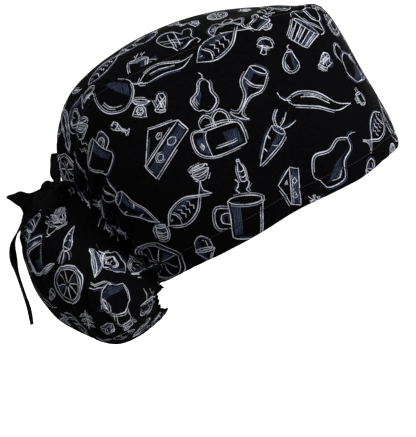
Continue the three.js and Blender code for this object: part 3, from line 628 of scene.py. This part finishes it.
def which_print(triangles, origins, printed, tags, own_area):
    """The print on each triangle: the highest tag of the print triangles that it lies in.

    The triangulation names these, but a print triangle that it lost an edge of claims far more than its own
    area: such a one is tested against the middles of the triangles instead.
    """
    rows = np.repeat(np.arange(len(origins)), [len(origin) for origin in origins])
    claimed = np.array([i for origin in origins for i in origin], int)
    edge_one, edge_two = triangles[:, 1] - triangles[:, 0], triangles[:, 2] - triangles[:, 0]
    area = np.abs(edge_one[:, 0] * edge_two[:, 1] - edge_one[:, 1] * edge_two[:, 0]) / 2
    total = np.bincount(claimed, area[rows], minlength=len(tags))
    sound = total < 1.2 * own_area + 0.01
    marks = np.zeros(len(triangles), int)
    good = sound[claimed]
    np.maximum.at(marks, rows[good], tags[claimed[good]])
    middles = triangles.mean(1)
    for i in np.flatnonzero(~sound):
        low, high = printed[i].min(0), printed[i].max(0)
        near = np.flatnonzero(np.all((middles >= low) & (middles <= high), axis=1))
        inside = np.ones(len(near), bool)
        for start, end in ((0, 1), (1, 2), (2, 0)):
            edge, gap = printed[i][end] - printed[i][start], middles[near] - printed[i][start]
            inside &= edge[0] * gap[:, 1] - edge[1] * gap[:, 0] >= 0
        marks[near[inside]] = np.maximum(marks[near[inside]], tags[i])
    return marks


def printed_face(uv, polygons, tags, low, high, scale, counts):
    """The outer face: its points, triangles that keep every edge of the print, and the print on each."""
    rows = [np.linspace(low[i], high[i], counts[i] + 1) for i in (0, 1)]
    loop = np.vstack(
        [
            np.c_[rows[0][:-1], np.full(counts[0], low[1])],
            np.c_[np.full(counts[1], high[0]), rows[1][:-1]],
            np.c_[rows[0][:0:-1], np.full(counts[0], high[1])],
            np.c_[np.full(counts[1], low[0]), rows[1][:0:-1]],
        ]
    )
    inner_u, inner_v = np.meshgrid(rows[0][1:-1], rows[1][1:-1])
    grid = np.c_[inner_u.ravel(), inner_v.ravel()]
    # A grid point goes where the print has a point of its own in the same small square.
    taken = {tuple(cell) for cell in np.floor((uv * scale) / PRINT_SQUARE).astype(int).tolist()}
    squares = np.floor((grid * scale) / PRINT_SQUARE).astype(int).tolist()
    grid = grid[[tuple(cell) not in taken for cell in squares]]
    everything = np.vstack([loop, grid, uv]) * scale
    n = len(loop)
    edges = [(i, (i + 1) % n) for i in range(n)]
    first = n + len(grid)
    corners = (uv * scale)[np.array(polygons, int).reshape(-1, 3)]
    one, two = corners[:, 1] - corners[:, 0], corners[:, 2] - corners[:, 0]
    twice_area = one[:, 0] * two[:, 1] - one[:, 1] * two[:, 0]
    real = np.flatnonzero(np.abs(twice_area) > 1e-3)
    faces = [[first + int(j) for j in polygons[i][:: 1 if twice_area[i] > 0 else -1]] for i in real]
    points = [Vector(p) for p in everything.tolist()]
    out_points, _, triangles, _, _, origins = delaunay_2d_cdt(points, edges, faces, 0, 1e-4, True)
    flat_points = np.array([tuple(p) for p in out_points])
    triangles = np.array(triangles)
    printed = everything[np.array(faces, int).reshape(-1, 3)]
    own_area = np.abs(twice_area[real]) / 2
    marks = which_print(flat_points[triangles], origins, printed, tags[real], own_area)
    flat_points = flat_points / scale
    middle = flat_points[triangles].mean(1)
    inside = np.all((middle > low) & (middle < high), axis=1)
    triangles, marks = triangles[inside], marks[inside]
    used = np.unique(triangles)
    renumber = np.full(len(flat_points), -1)
    renumber[used] = np.arange(len(used))
    return np.clip(flat_points[used], low, high), renumber[triangles], marks


def border(flat_points, low, high, scale):
    """The numbers of a face's outermost points, in turn along its four sides."""
    close = 1e-3 / scale
    sides = [
        (flat_points[:, 1] <= low[1] + close[1], 0, 1),
        (flat_points[:, 0] >= high[0] - close[0], 1, 1),
        (flat_points[:, 1] >= high[1] - close[1], 0, -1),
        (flat_points[:, 0] <= low[0] + close[0], 1, -1),
    ]
    ring = []
    for on_side, axis, way in sides:
        along = np.flatnonzero(on_side)
        along = along[np.argsort(way * flat_points[along, axis])]
        ring.extend(along[:-1].tolist())
    return np.array(ring)


def plain_face(ring_points, low, high, scale, counts):
    """The inner face: the same border and a grid half as fine within it, as points and triangles."""
    fine = [np.linspace(low[i], high[i], counts[i] // 2 + 1)[1:-1] for i in (0, 1)]
    inner_u, inner_v = np.meshgrid(*fine)
    everything = np.vstack([ring_points, np.c_[inner_u.ravel(), inner_v.ravel()]]) * scale
    n = len(ring_points)
    edges = [(i, (i + 1) % n) for i in range(n)]
    points = [Vector(p) for p in everything.tolist()]
    out_points, _, triangles, _, _, _ = delaunay_2d_cdt(points, edges, [], 0, 1e-7, True)
    flat_points = np.array([tuple(p) for p in out_points]) / scale
    triangles = np.array(triangles)
    middle = flat_points[triangles].mean(1)
    return flat_points, triangles[np.all((middle > low) & (middle < high), axis=1)]


def lay_weave(mesh, mm):
    """Writes each vertex's place on the flat cloth, in mm, as the map that the weave follows."""
    weave = mesh.uv_layers.new(name="weave_mm")
    corners = np.empty(len(mesh.loops), np.int32)
    mesh.loops.foreach_get("vertex_index", corners)
    weave.data.foreach_set("uv", mm[corners].ravel())


def panel(name, shape, places, us, vs, size, wall, turn, seed, spacing=1.6):
    """A closed printed panel: its outer face is triangulated round the print, its inner one is plain.

    shape(u, v, folds) is the cloth, and the print is laid on it as it is without its folds. us and vs are
    the panel's ends, size its rough width and height in mm, and spacing that of its plain grid.
    """
    low, high = np.array([us[0], vs[0]]), np.array([us[1], vs[1]])
    scale = np.array(size) / (high - low)
    counts = np.maximum((np.array(size) / spacing).astype(int), 2)
    uv, polygons, tags = strokes(partial(shape, folds=False), places, seed, low, high, scale)
    flat_points, triangles, marks = printed_face(uv, polygons, tags, low, high, scale, counts)
    ring = border(flat_points, low, high, scale)
    back_points, back = plain_face(flat_points[ring], low, high, scale, counts)

    def lifted(uv_points, side):
        """Half the wall out from the shape. The outer face sinks along its edges, where the cloth is sewn."""
        u, v = uv_points.T
        out = normals(shape, u, v, turn)
        from_edge = np.minimum((uv_points - low) * scale, (high - uv_points) * scale).min(1)
        sunk = EDGE_SINK * np.exp(-((from_edge / EDGE_FALL) ** 2)) * (side > 0)
        return shape(u, v) + out * (wall * side / 2 - sunk)[:, None], out * side

    outer, outer_normals = lifted(flat_points, 1)
    inner, inner_normals = lifted(np.clip(back_points, low, high), -1)
    n, shift = len(ring), len(outer)
    rim = [(ring[(i + 1) % n], ring[i], shift + i, shift + (i + 1) % n) for i in range(n)]
    if turn < 0:
        triangles, back = triangles[:, ::-1], back[:, ::-1]
        rim = [face[::-1] for face in rim]
    faces = triangles.tolist() + (back[:, ::-1] + shift).tolist() + rim
    piece = mesh_object(name, np.vstack([outer, inner]), faces)
    mesh = piece.data
    marks = np.concatenate([marks, np.zeros(len(back) + len(rim), int)])
    mesh.polygons.foreach_set("material_index", marks.astype(np.int32))
    mesh.polygons.foreach_set("use_smooth", [True] * (len(triangles) + len(back)) + [False] * len(rim))
    lay_weave(mesh, np.vstack([flat_points, back_points]) * scale)
    mesh.normals_split_custom_set_from_vertices(np.vstack([outer_normals, inner_normals]).tolist())
    return piece


# Plain-weave cotton, 25 yarns to the centimetre, dyed black and printed with white ink. Cotton has no shine
# of its own: black cloth shows only its weave and a faint bloom of loose fibres where it turns away. Each ink
# has its colour, its worn shade and how many blotches of the two there are to the mm.
INKS = {
    "black dyed plain-weave cotton": ("#060608", "#030304", 0.35),
    "thin blue-grey ink wash on cotton": ("#202737", "#10131c", 0.9),
    "blue-grey ink hatching on cotton": ("#4e5873", "#1e2533", 1.4),
    "chalk-white ink line on cotton": ("#eceef8", "#858ca3", 1.6),
}


def cotton(name, colour, worn, blotches):
    """One colour broken up by noise, blotches to the mm, into its worn shade, on a woven, crumpled face."""
    made = bpy.data.materials.new(name)
    made.use_nodes = True
    tree = made.node_tree
    shader = tree.nodes["Principled BSDF"]
    shader.inputs["Roughness"].default_value = 0.85
    shader.inputs["Specular IOR Level"].default_value = 0.03
    shader.inputs["Sheen Weight"].default_value = 0.0015
    shader.inputs["Sheen Roughness"].default_value = 0.5
    weave = node(tree, "ShaderNodeUVMap", uv_map="weave_mm").outputs["UV"]
    place = node(tree, "ShaderNodeTexCoord").outputs["Object"]
    grain = node(tree, "ShaderNodeTexNoise", {"Vector": weave}, Scale=blotches, Detail=4.0)
    fade = node(tree, "ShaderNodeMapRange", {"Value": grain.outputs["Fac"]}, From_Min=0.34, From_Max=0.52)
    mix = node(tree, "ShaderNodeMix", {"Factor": fade.outputs["Result"]}, data_type="RGBA")
    mix.inputs[6].default_value = linear(worn)
    mix.inputs[7].default_value = linear(colour)
    tree.links.new(mix.outputs[2], shader.inputs["Base Color"])
    crumple = node(tree, "ShaderNodeTexNoise", {"Vector": place}, Scale=90.0, Detail=5.0)
    soft = node(tree, "ShaderNodeBump", {"Height": crumple.outputs["Fac"]}, Strength=0.5, Distance=0.0012)
    # A real yarn is 0.4 mm wide. It is drawn 0.9 mm wide, which is what the render can show.
    yarn = node(tree, "ShaderNodeVectorMath", {0: weave}, operation="SCALE", Scale=2 * np.pi / 0.9)
    split = node(tree, "ShaderNodeSeparateXYZ", {0: yarn.outputs[0]})
    warp = node(tree, "ShaderNodeMath", {0: split.outputs["X"]}, operation="SINE")
    weft = node(tree, "ShaderNodeMath", {0: split.outputs["Y"]}, operation="SINE")
    cross = node(tree, "ShaderNodeMath", {0: warp.outputs[0], 1: weft.outputs[0]}, operation="MULTIPLY")
    fine = node(tree, "ShaderNodeBump", {"Height": cross.outputs[0], "Normal": soft.outputs[0]})
    fine.inputs["Strength"].default_value = 0.35
    fine.inputs["Distance"].default_value = 0.00006
    tree.links.new(fine.outputs[0], shader.inputs["Normal"])
    return made


PRINTED = [cotton(name, *ink) for name, ink in INKS.items()]


def dress(piece, *nodes):
    """Gives a printed piece its inks and its body, and hides the imported parts that it stands for."""
    for material in PRINTED:
        piece.data.materials.append(material)
    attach(piece, "root")
    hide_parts(*nodes)


# The hem's share of the band's height at the forehead, and a casing's of the band's half length, which is
# measured on its last tenth.
forehead, back_edge = np.zeros(1), np.ones(1)
band_height = np.linalg.norm(cut_line("hem", forehead) - cut_line("seam", forehead))
last_tenth = np.linalg.norm(
    band(0.9 * back_edge, 0.5 * back_edge, False) - band(back_edge, 0.5 * back_edge, False)
)
HEM_SHARE = HEM_WIDTH / band_height
CASING_SHARE = CASING_WIDTH / last_tenth / 10
band_sizes = [25] * 22 + [21] * 40 + [16] * 40 + [11] * 50 + [8] * 30
band_places = scatter(band, (-1.0, 1.0), (0.0, 1.0), 12, band_sizes)
band_size = (250 * 2 * (1 - CASING_SHARE), 128)
front_band = panel(
    "front_band_cloth", band, band_places,
    (-1 + CASING_SHARE, 1 - CASING_SHARE), (HEM_SHARE, 1.0), band_size, CLOTH_WALL, 1, 21, 1.8,
)
dress(front_band, "front_band")

# Front hem: the band's lower edge, turned under twice and stitched just above. It frames the head opening.
front_hem = panel(
    "front_hem_cloth", band, band_places,
    (-1.0, 1.0), (0.0, HEM_SHARE), (500, HEM_WIDTH), HEM_WALL, 1, 21,
)
dress(front_hem, "front_hem")

# Casings: the gathered tunnels along the band's two back edges, through which the ties run.
for side_name, ends in (("right", (-1.0, -1 + CASING_SHARE)), ("left", (1 - CASING_SHARE, 1.0))):
    casing = panel(
        f"casing_{side_name}_cloth", band, band_places,
        ends, (0.0, 1.0), (CASING_WIDTH, 140), HEM_WALL, 1, 21, 1.0,
    )
    dress(casing, f"casing_{side_name}")

# Crown panel: one piece of the same print over the top and down the back, as far as the ties.
# The band is sewn to it all round, which puckers both a little.
FRONT_SHARE = 0.2
CROWN_RISE = 23


def seam(u):
    """The line that the crown panel shares with the band."""
    return cut_line("seam", u)


def crown(t, w, folds=True):
    """A Coons patch between the seam's two sides, its front and the back edge, raised in the middle."""
    share = FRONT_SHARE + (1 - FRONT_SHARE) * t
    mix = ((w + 1) / 2)[..., None]
    front_end, back_end = np.full_like(t, FRONT_SHARE), np.ones_like(t)

    def across(u):
        """Straight from the seam's right side to its left."""
        return seam(-u) * (1 - mix) + seam(u) * mix

    rise = column(SECTIONS, "rise", share) * CROWN_RISE
    back_edge = seam(back_end) * np.stack([np.ones_like(w), w, np.ones_like(w)], -1)
    back_edge[..., 0] -= SECTIONS["rise"][-1] * CROWN_RISE * (1 - w * w)
    ends = (seam(w * FRONT_SHARE) - across(front_end)) * (1 - t)[..., None]
    ends += (back_edge - across(back_end)) * t[..., None]
    ahead = seam(np.maximum(share - 0.02, 0)) - seam(np.minimum(share + 0.02, 1))
    up = np.stack([-ahead[..., 2], np.zeros_like(t), ahead[..., 0]], -1)
    up /= np.linalg.norm(up, axis=-1, keepdims=True)
    lift = rise * (1 - np.abs(w) ** 2.3) * (1 - np.clip(t, 0, 1) ** 6)
    if folds:
        along, over = t * 210, w * 75
        inside = ramp(1 - np.abs(w), 0, 0.3) * ramp(t, 0, 0.12) * ramp(1 - t, 0, 0.1)
        lift += inside * (1.2 * waves(along, over, 65, 31) + 0.5 * waves(along, over, 28, 32))
        near_seam = np.abs(w) ** 6 * ramp(1 - np.abs(w), 0, 0.05) * ramp(t, 0.02, 0.1)
        lift += near_seam * 0.9 * np.sin(along * 0.75 + 2.5 * waves(along, over, 60, 33))
        pleats = np.cos(5 * np.pi * w) * 1.4 + np.cos(17 * np.pi * w + 2 * waves(along, over, 40, 34)) * 0.7
        lift += pleats * ramp(t, 0.68, 0.92) * ramp(1 - t, 0, 0.06) * (1 - w * w)
        lift -= 1.6 * np.exp(-(((t - 0.16) / 0.07) ** 2)) * (1 - w * w)
    return across(share) + ends + up * lift[..., None]


crown_sizes = [21] * 12 + [16] * 18 + [10] * 22 + [7] * 8
crown_places = scatter(crown, (0.0, 1.0), (-1.0, 1.0), 5, crown_sizes)
crown_panel = panel(
    "crown_panel_cloth", crown, crown_places,
    (0.0, 1.0), (-1.0, 1.0), (215, 165), CLOTH_WALL, -1, 22,
)
dress(crown_panel, "crown_panel")

# Hair pouch: a bag of the same print, gathered to the casings and the ties above and to elastic at the nape.
POUCH_BACK, POUCH_WIDE, POUCH_DOWN = 77, 50, 76
NECK_DROP, NECK_INSET = 17, 2
MOUTH_HALF_WIDTH, MOUTH_DROP, MOUTH_SETBACK, MOUTH_BELOW = 35, 14, 7, 8
TIE_SHARE = 0.14
# A row for each section from the middle of the back to the nape, with the two handles of its Bezier curve
# as shares of the sizes above, and the share of its length that the mouth's hem takes up.
POUCH_SECTIONS = {
    "out_x": (-1.03, -0.86, -0.52, -0.23, -0.05, 0.02),
    "out_y": (0.0, 0.52, 0.75, 0.7, 0.52, 0.2),
    "out_z": (-0.33, -0.42, -0.44, -0.45, -0.37, -0.12),
    "lip_x": (-0.75, -0.66, -0.57, -0.44, -0.26, -0.08),
    "lip_y": (0.0, 0.52, 1.0, 1.12, 0.85, 0.2),
    "lip_z": (-0.98, -0.95, -0.76, -0.53, -0.29, -0.04),
    "hem": (0.045, 0.045, 0.05, 0.065, 0.1, 0.35),
}


def groove(a, folds):
    """The cap's edge that the pouch hangs from: its points, its normals and the way on from it."""
    reach, side = np.abs(a), np.where(a < 0, -1.0, 1.0)
    top = reach < TIE_SHARE
    w = np.clip(a / TIE_SHARE, -1, 1)
    v = np.clip(1 - (reach - TIE_SHARE) / (1 - TIE_SHARE), 0, 1)
    ones = np.ones_like(a)
    point = np.where(top[..., None], crown(ones, w, folds), band(side, v, folds))
    before = np.where(top[..., None], crown(ones - 5e-3, w, folds), band(side * (1 - 5e-3), v, folds))
    crown_out = normals(partial(crown, folds=False), ones - 2e-3, w, -1)
    band_out = normals(partial(band, folds=False), side * (1 - 2e-3), v, 1)
    out = np.where(top[..., None], crown_out, band_out)
    onward = point - before
    return point, out, onward / np.linalg.norm(onward, axis=-1, keepdims=True)


def pouch(a, b, folds=True):
    """A Bezier curve from the groove (b 0) to the lip (b 1) in each section, with gathers at both ends."""
    start, out, onward = groove(a, folds)
    share, side = np.abs(a), np.sign(a)
    sizes = np.array([POUCH_BACK, POUCH_WIDE, POUCH_DOWN])

    def handle(which):
        parts = [column(POUCH_SECTIONS, f"{which}_{axis}", share, -1 if axis == "y" else 1) for axis in "xyz"]
        return np.stack([parts[0], parts[1] * side, parts[2]], -1) * sizes

    angle = a * np.pi / 2
    drop = MOUTH_DROP * np.cos(angle)
    if folds:
        drop = drop * (1 + 0.045 * np.cos(34 * np.pi * a + 2 * np.sin(9 * a)) * (1 - a * a))
    lip = np.stack(
        [
            -OPENING_REACH - MOUTH_SETBACK * np.abs(np.sin(angle)),
            MOUTH_HALF_WIDTH * np.sin(angle),
            -OPENING_RISE - MOUTH_BELOW - drop,
        ],
        -1,
    )
    c = b[..., None]
    one, two = start + handle("out"), lip + handle("lip")
    curve = (1 - c) ** 3 * start + 3 * c * (1 - c) ** 2 * one + 3 * c * c * (1 - c) * two + c**3 * lip
    way = np.stack([-0.6 * (1 - a * a), np.sin(1.5 * a), np.full_like(a, -0.45)], -1)
    way /= np.linalg.norm(way, axis=-1, keepdims=True)
    ridge = 2.4 * np.cos(15 * np.pi * a + 0.8 * np.sin(9 * a))
    ridge = ridge * ramp(b, 0.02, 0.16) * (1 - ramp(b, 0.25, 0.6))
    at_lip = 2.2 * np.cos(11 * np.pi * a) * ramp(b, 0.7, 0.95)
    height = (ridge + at_lip) * (1 - np.abs(a) ** 6) * folds
    if folds:
        around, down = a * 165, b * 180
        drift = 2.2 * waves(around, down, 70, 41)
        fine = 1.5 * np.sin(27 * np.pi * a + drift) * ramp(b, 0.03, 0.12) * (1 - ramp(b, 0.16, 0.5))
        fine += 0.6 * np.sin(33 * np.pi * a + drift) * ramp(b, 0.74, 0.97)
        fine += 0.25 * np.sin(58 * np.pi * a + 2 * drift) * ramp(b, 0.86, 0.98)
        height += fine * (1 - a**4)
        height += (1.8 * waves(around, down, 55, 42) + 0.7 * waves(around, down, 25, 43)) * ramp(b, 0.1, 0.3)
    hang = start + onward * (NECK_DROP * b * 5)[..., None] - out * (NECK_INSET * np.sin(b * 15))[..., None]
    blend = ramp(b, 0.05, 0.27)[..., None]
    return hang * (1 - blend) + (curve + way * height[..., None]) * blend


def bag(a, c, folds=True):
    """The pouch as far as its mouth's hem."""
    return pouch(a, c * (1 - column(POUCH_SECTIONS, "hem", np.abs(a))), folds)


def mouth(a, c, folds=True):
    """The rest of the pouch, its hem."""
    return pouch(a, 1 - (1 - c) * column(POUCH_SECTIONS, "hem", np.abs(a)), folds)


pouch_sizes = [19] * 10 + [15] * 30 + [10] * 40 + [7] * 20
pouch_places = scatter(bag, (-1.0, 1.0), (0.0, 1.0), 8, pouch_sizes)
hair_pouch = panel(
    "hair_pouch_cloth", bag, pouch_places,
    (-1.0, 1.0), (0.0, 1.0), (330, 180), CLOTH_WALL, 1, 23,
)
dress(hair_pouch, "hair_pouch")

# Mouth hem: the pouch's free edge, turned over a narrow elastic that ruffles it against the nape.
mouth_places = scatter(mouth, (-1.0, 1.0), (0.0, 1.0), 9, [13] * 20)
mouth_hem = panel(
    "mouth_hem_cloth", mouth, mouth_places,
    (-1.0, 1.0), (0.0, 1.0), (330, 9), HEM_WALL, 1, 24, 1.2,
)
dress(mouth_hem, "mouth_hem")

# Stitching: black polyester thread, 10 stitches to the inch, along the hem, the casings, the crown seam and
# the pouch's mouth. Each stitch is a short arched bead that sinks into the cloth at both ends.
STITCH, STITCH_GAP, THREAD = 2.2, 0.35, 0.5


def stitches(surface, turn, height, path):
    """Beads on a surface along a (u, v) path: each an arch of four rings of six points."""
    fine = np.linspace(0, 1, 1500)
    given = np.linspace(0, 1, len(path))
    uv = np.stack([np.interp(fine, given, np.array(path)[:, i]) for i in (0, 1)], -1)
    line = surface(uv[:, 0], uv[:, 1])
    along = np.r_[0, np.cumsum(np.linalg.norm(np.diff(line, axis=0), axis=1))]
    count = int(along[-1] / (STITCH + STITCH_GAP))
    starts = (np.arange(count) + 0.5) * (STITCH + STITCH_GAP)
    spread = np.linspace(-0.5, 0.5, 4)
    at = np.interp(starts[:, None] + spread * STITCH, along, fine)
    u, v = (np.interp(at, fine, uv[:, i]) for i in (0, 1))
    middle = surface(u.ravel(), v.ravel()).reshape(count, 4, 3)
    out = normals(surface, u.ravel(), v.ravel(), turn).reshape(count, 4, 3)
    heading = np.gradient(middle, axis=1)
    heading /= np.linalg.norm(heading, axis=2, keepdims=True)
    across = np.cross(out, heading)
    lift = height + THREAD * np.array([-0.25, 0.25, 0.25, -0.25])
    angle = np.arange(6) * np.pi / 3
    ring = np.cos(angle)[:, None] * across[:, :, None] + np.sin(angle)[:, None] * out[:, :, None]
    ring = ring * THREAD / 2
    points = (middle + out * lift[:, None])[:, :, None] + ring
    faces = []
    for first in range(0, count * 24, 24):
        for row in range(first, first + 18, 6):
            faces += [[row + k, row + (k + 1) % 6, row + 6 + (k + 1) % 6, row + 6 + k] for k in range(6)]
        faces += [[first + k for k in range(5, -1, -1)], [first + 18 + k for k in range(6)]]
    return points.reshape(-1, 3), faces


def seam_line(us, v):
    """A path along u at one v."""
    return [(u, v) for u in np.linspace(*us, 60)]


SEAMS = [
    (band, 1, CLOTH_WALL / 2, seam_line((-0.98, 0.98), HEM_SHARE + 0.012)),
    (band, 1, CLOTH_WALL / 2, seam_line((-0.9, 0.9), 0.978)),
    (band, 1, CLOTH_WALL / 2, [(-1 + CASING_SHARE + 0.008, v) for v in np.linspace(0.02, 0.98, 60)]),
    (band, 1, CLOTH_WALL / 2, [(1 - CASING_SHARE - 0.008, v) for v in np.linspace(0.02, 0.98, 60)]),
    (bag, 1, CLOTH_WALL / 2, seam_line((-0.97, 0.97), 0.985)),
]
thread_points, thread_faces, thread_count = [], [], 0
for surface, turn, height, path in SEAMS:
    points, faces = stitches(surface, turn, height, path)
    thread_points.append(points)
    thread_faces += [[j + thread_count for j in face] for face in faces]
    thread_count += len(points)
stitching = mesh_object("seam_stitching", np.vstack(thread_points), thread_faces)
thread = bpy.data.materials.new("black spun polyester thread")
thread.use_nodes = True
twist = node(thread.node_tree, "ShaderNodeTexCoord").outputs["Object"]
ply = node(thread.node_tree, "ShaderNodeTexNoise", {"Vector": twist}, Scale=1600.0)
relief = {"Height": ply.outputs["Fac"]}
plied = node(thread.node_tree, "ShaderNodeBump", relief, Strength=0.6, Distance=0.0002)
thread_shader = thread.node_tree.nodes["Principled BSDF"]
thread_shader.inputs["Base Color"].default_value = linear("#141417")
thread_shader.inputs["Roughness"].default_value = 0.55
thread_shader.inputs["Specular IOR Level"].default_value = 0.3
thread.node_tree.links.new(plied.outputs[0], thread_shader.inputs["Normal"])
stitching.data.materials.append(thread)
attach(stitching, "root")

# Ties: plain black cotton tape, which leaves the casings at the back and is tied in a bow above the pouch.
TIE_WALL, TIE_WIDTH, TIE_REACH = 1.0, 15, 100
KNOT = np.array([-173.0, 0.0, 17.0])
KNOT_SIZE = np.array([11.0, 14.0, 16.0])
# A row for each place along a tape's middle: how far back, left and up it lies from the knot, and the way
# of its width, all as shares of TIE_REACH.
TAPES = {
    "tie_tail_right": (
        (0.055, -0.06, -0.05, 0.0, 0.02, 0.065), (0.12, -0.09, -0.088, -0.005, 0.0, 0.073),
        (0.18, -0.1, -0.07, -0.01, 0.01, 0.068), (0.24, -0.1, -0.055, -0.005, 0.025, 0.034),
        (0.288, -0.095, -0.046, 0.0, 0.05, 0.006), (0.24, -0.085, -0.08, 0.015, 0.06, -0.02),
        (0.18, -0.075, -0.125, 0.015, 0.062, -0.015), (0.165, -0.07, -0.18, -0.006, 0.068, 0.0),
        (0.195, -0.07, -0.27, -0.012, 0.068, 0.0), (0.25, -0.075, -0.385, 0.01, 0.068, 0.0),
        (0.247, -0.08, -0.5, 0.02, 0.065, 0.0), (0.22, -0.08, -0.6, 0.008, 0.07, 0.0),
        (0.17, -0.08, -0.75, 0.006, 0.07, 0.0), (0.13, -0.085, -0.87, 0.006, 0.07, 0.0),
        (0.107, -0.09, -0.985, 0.003, 0.07, 0.0),
    ),
    "tie_tail_left": (
        (0.05, 0.065, -0.04, 0.0, -0.02, 0.05), (0.115, 0.13, -0.12, -0.03, 0.0, 0.065),
        (0.175, 0.17, -0.22, -0.03, 0.05, 0.04), (0.2, 0.19, -0.34, -0.02, 0.07, 0.01),
        (0.185, 0.2, -0.48, 0.01, 0.07, 0.0), (0.118, 0.2, -0.62, 0.02, 0.07, 0.01),
        (0.035, 0.21, -0.76, 0.02, 0.07, 0.0), (-0.065, 0.22, -0.89, 0.03, 0.065, 0.0),
    ),
    "tie_loop_right": (
        (-0.022, -0.069, 0.025, 0.0, 0.0, 0.04), (-0.085, -0.2, 0.01, 0.01, 0.0, 0.063),
        (-0.115, -0.31, -0.02, 0.01, 0.01, 0.068), (-0.065, -0.38, -0.055, 0.01, 0.01, 0.068),
        (0.02, -0.39, -0.075, 0.01, 0.01, 0.068), (0.072, -0.32, -0.08, 0.0, 0.0, 0.07),
        (0.06, -0.2, -0.065, 0.0, 0.0, 0.068), (0.022, -0.069, 0.0, 0.0, 0.0, 0.04),
    ),
    "tie_loop_left": (
        (-0.07, 0.02, 0.06, -0.02, 0.05, 0.0), (-0.045, 0.06, 0.13, -0.034, 0.052, 0.0),
        (-0.045, 0.09, 0.21, -0.037, 0.056, 0.0), (-0.045, 0.12, 0.275, -0.034, 0.058, 0.0),
        (-0.05, 0.12, 0.265, -0.034, 0.058, 0.0), (-0.053, 0.09, 0.19, -0.036, 0.055, 0.0),
        (-0.06, 0.05, 0.12, -0.034, 0.05, 0.0), (-0.068, 0.02, 0.06, -0.03, 0.04, 0.0),
    ),
    "tie_lead_right": (
        (-0.175, -0.22, 0.02, 0.01, -0.01, 0.045), (-0.12, -0.15, 0.02, 0.0, -0.01, 0.055),
        (-0.046, -0.07, 0.0, 0.0, 0.0, 0.045),
    ),
    "tie_lead_left": (
        (-0.175, 0.22, 0.02, 0.01, 0.01, 0.045), (-0.12, 0.15, 0.02, 0.0, 0.01, 0.055),
        (-0.046, 0.07, 0.0, 0.0, 0.0, 0.045),
    ),
}


def tape_surface(rows):
    """A tape's surface from its rows: s runs along it and w across, from -1 to 1."""
    table = dict(zip("xyzabc", np.array(rows).T * TIE_REACH))

    def point(s, w):
        """The table's middle line plus w times its width, cupped, with creases that fade from the knot."""
        middle = np.stack([-column(table, "x", s, 0), column(table, "y", s, 0), column(table, "z", s, 0)], -1)
        across = np.stack([column(table, key, s, 0) for key in "abc"], -1)
        crease = 0.5 * np.cos(9 * w + 1) * (1 - ramp(s, 0.02, 0.35)) + 0.25 * np.sin(26 * s + 2 * w)
        out = np.stack([-(1 - w * w) * 0.8 + crease * 0.7, crease * 0.5, 0 * w], -1)
        return KNOT + middle + across * w[..., None] + out

    return point


def tape(name, rows):
    """A closed wall round a tape's surface, rounded over at both selvedges."""
    point = tape_surface(rows)
    s, w = np.meshgrid(np.linspace(0, 1, 14 * (len(rows) - 1) + 1), np.linspace(-1, 1, 15), indexing="ij")
    out = normals(point, s, w, 1)
    thin = (TIE_WALL / 2 * (1 - 0.6 * np.abs(w) ** 8))[..., None]
    sheets = np.stack([point(s, w) + out * thin, point(s, w) - out * thin])
    rows_n, columns_n = s.shape
    number = np.arange(2 * rows_n * columns_n).reshape(2, rows_n, columns_n)
    faces = []
    for layer, way in ((number[0], 1), (number[1], -1)):
        quads = np.stack([layer[:-1, :-1], layer[1:, :-1], layer[1:, 1:], layer[:-1, 1:]], -1).reshape(-1, 4)
        faces += quads[:, ::way].tolist()
    top, low = (
        np.concatenate([layer[0, :-1], layer[:-1, -1], layer[-1, :0:-1], layer[:0:-1, 0]]) for layer in number
    )
    faces += np.stack([top, np.roll(top, -1), np.roll(low, -1), low], -1).tolist()
    piece = mesh_object(name, sheets.reshape(-1, 3), faces)
    lay_weave(piece.data, np.tile(np.stack([s * TIE_REACH, w * TIE_WIDTH / 2], -1).reshape(-1, 2), (2, 1)))
    return piece


TAPE_COTTON = cotton("black cotton tape", "#0d0d0f", "#060607", 0.35)
for name, rows in TAPES.items():
    piece = tape(name + "_tape", rows)
    piece.data.materials.append(TAPE_COTTON)
    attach(piece, "root")
    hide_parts(name)

# Knot: the middle of the bow, a lump of tape under one wrapped turn.
lump = bmesh.new()
bmesh.ops.create_icosphere(lump, subdivisions=5, radius=1)
for vertex in lump.verts:
    p = np.array(vertex.co)
    turns = 0.05 * np.cos(16 * p[1] + 4 * p[2] + 1) * (1 - p[2] ** 2)
    waist = -0.13 * np.exp(-(((abs(p[1]) - 0.62) / 0.16) ** 2)) * (1 - 0.5 * p[2] ** 2)
    vertex.co = Vector((KNOT + p * KNOT_SIZE / 2 * (1 + turns + waist)) * 0.001)
knot_mesh = bpy.data.meshes.new("tie_knot_tape")
lump.to_mesh(knot_mesh)
knot_mesh.polygons.foreach_set("use_smooth", [True] * len(knot_mesh.polygons))
knot_mesh.uv_layers.new(name="weave_mm")
tie_knot = bpy.data.objects.new("tie_knot_tape", knot_mesh)
bpy.context.scene.collection.objects.link(tie_knot)
tie_knot.data.materials.append(TAPE_COTTON)
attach(tie_knot, "root")
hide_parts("tie_knot")
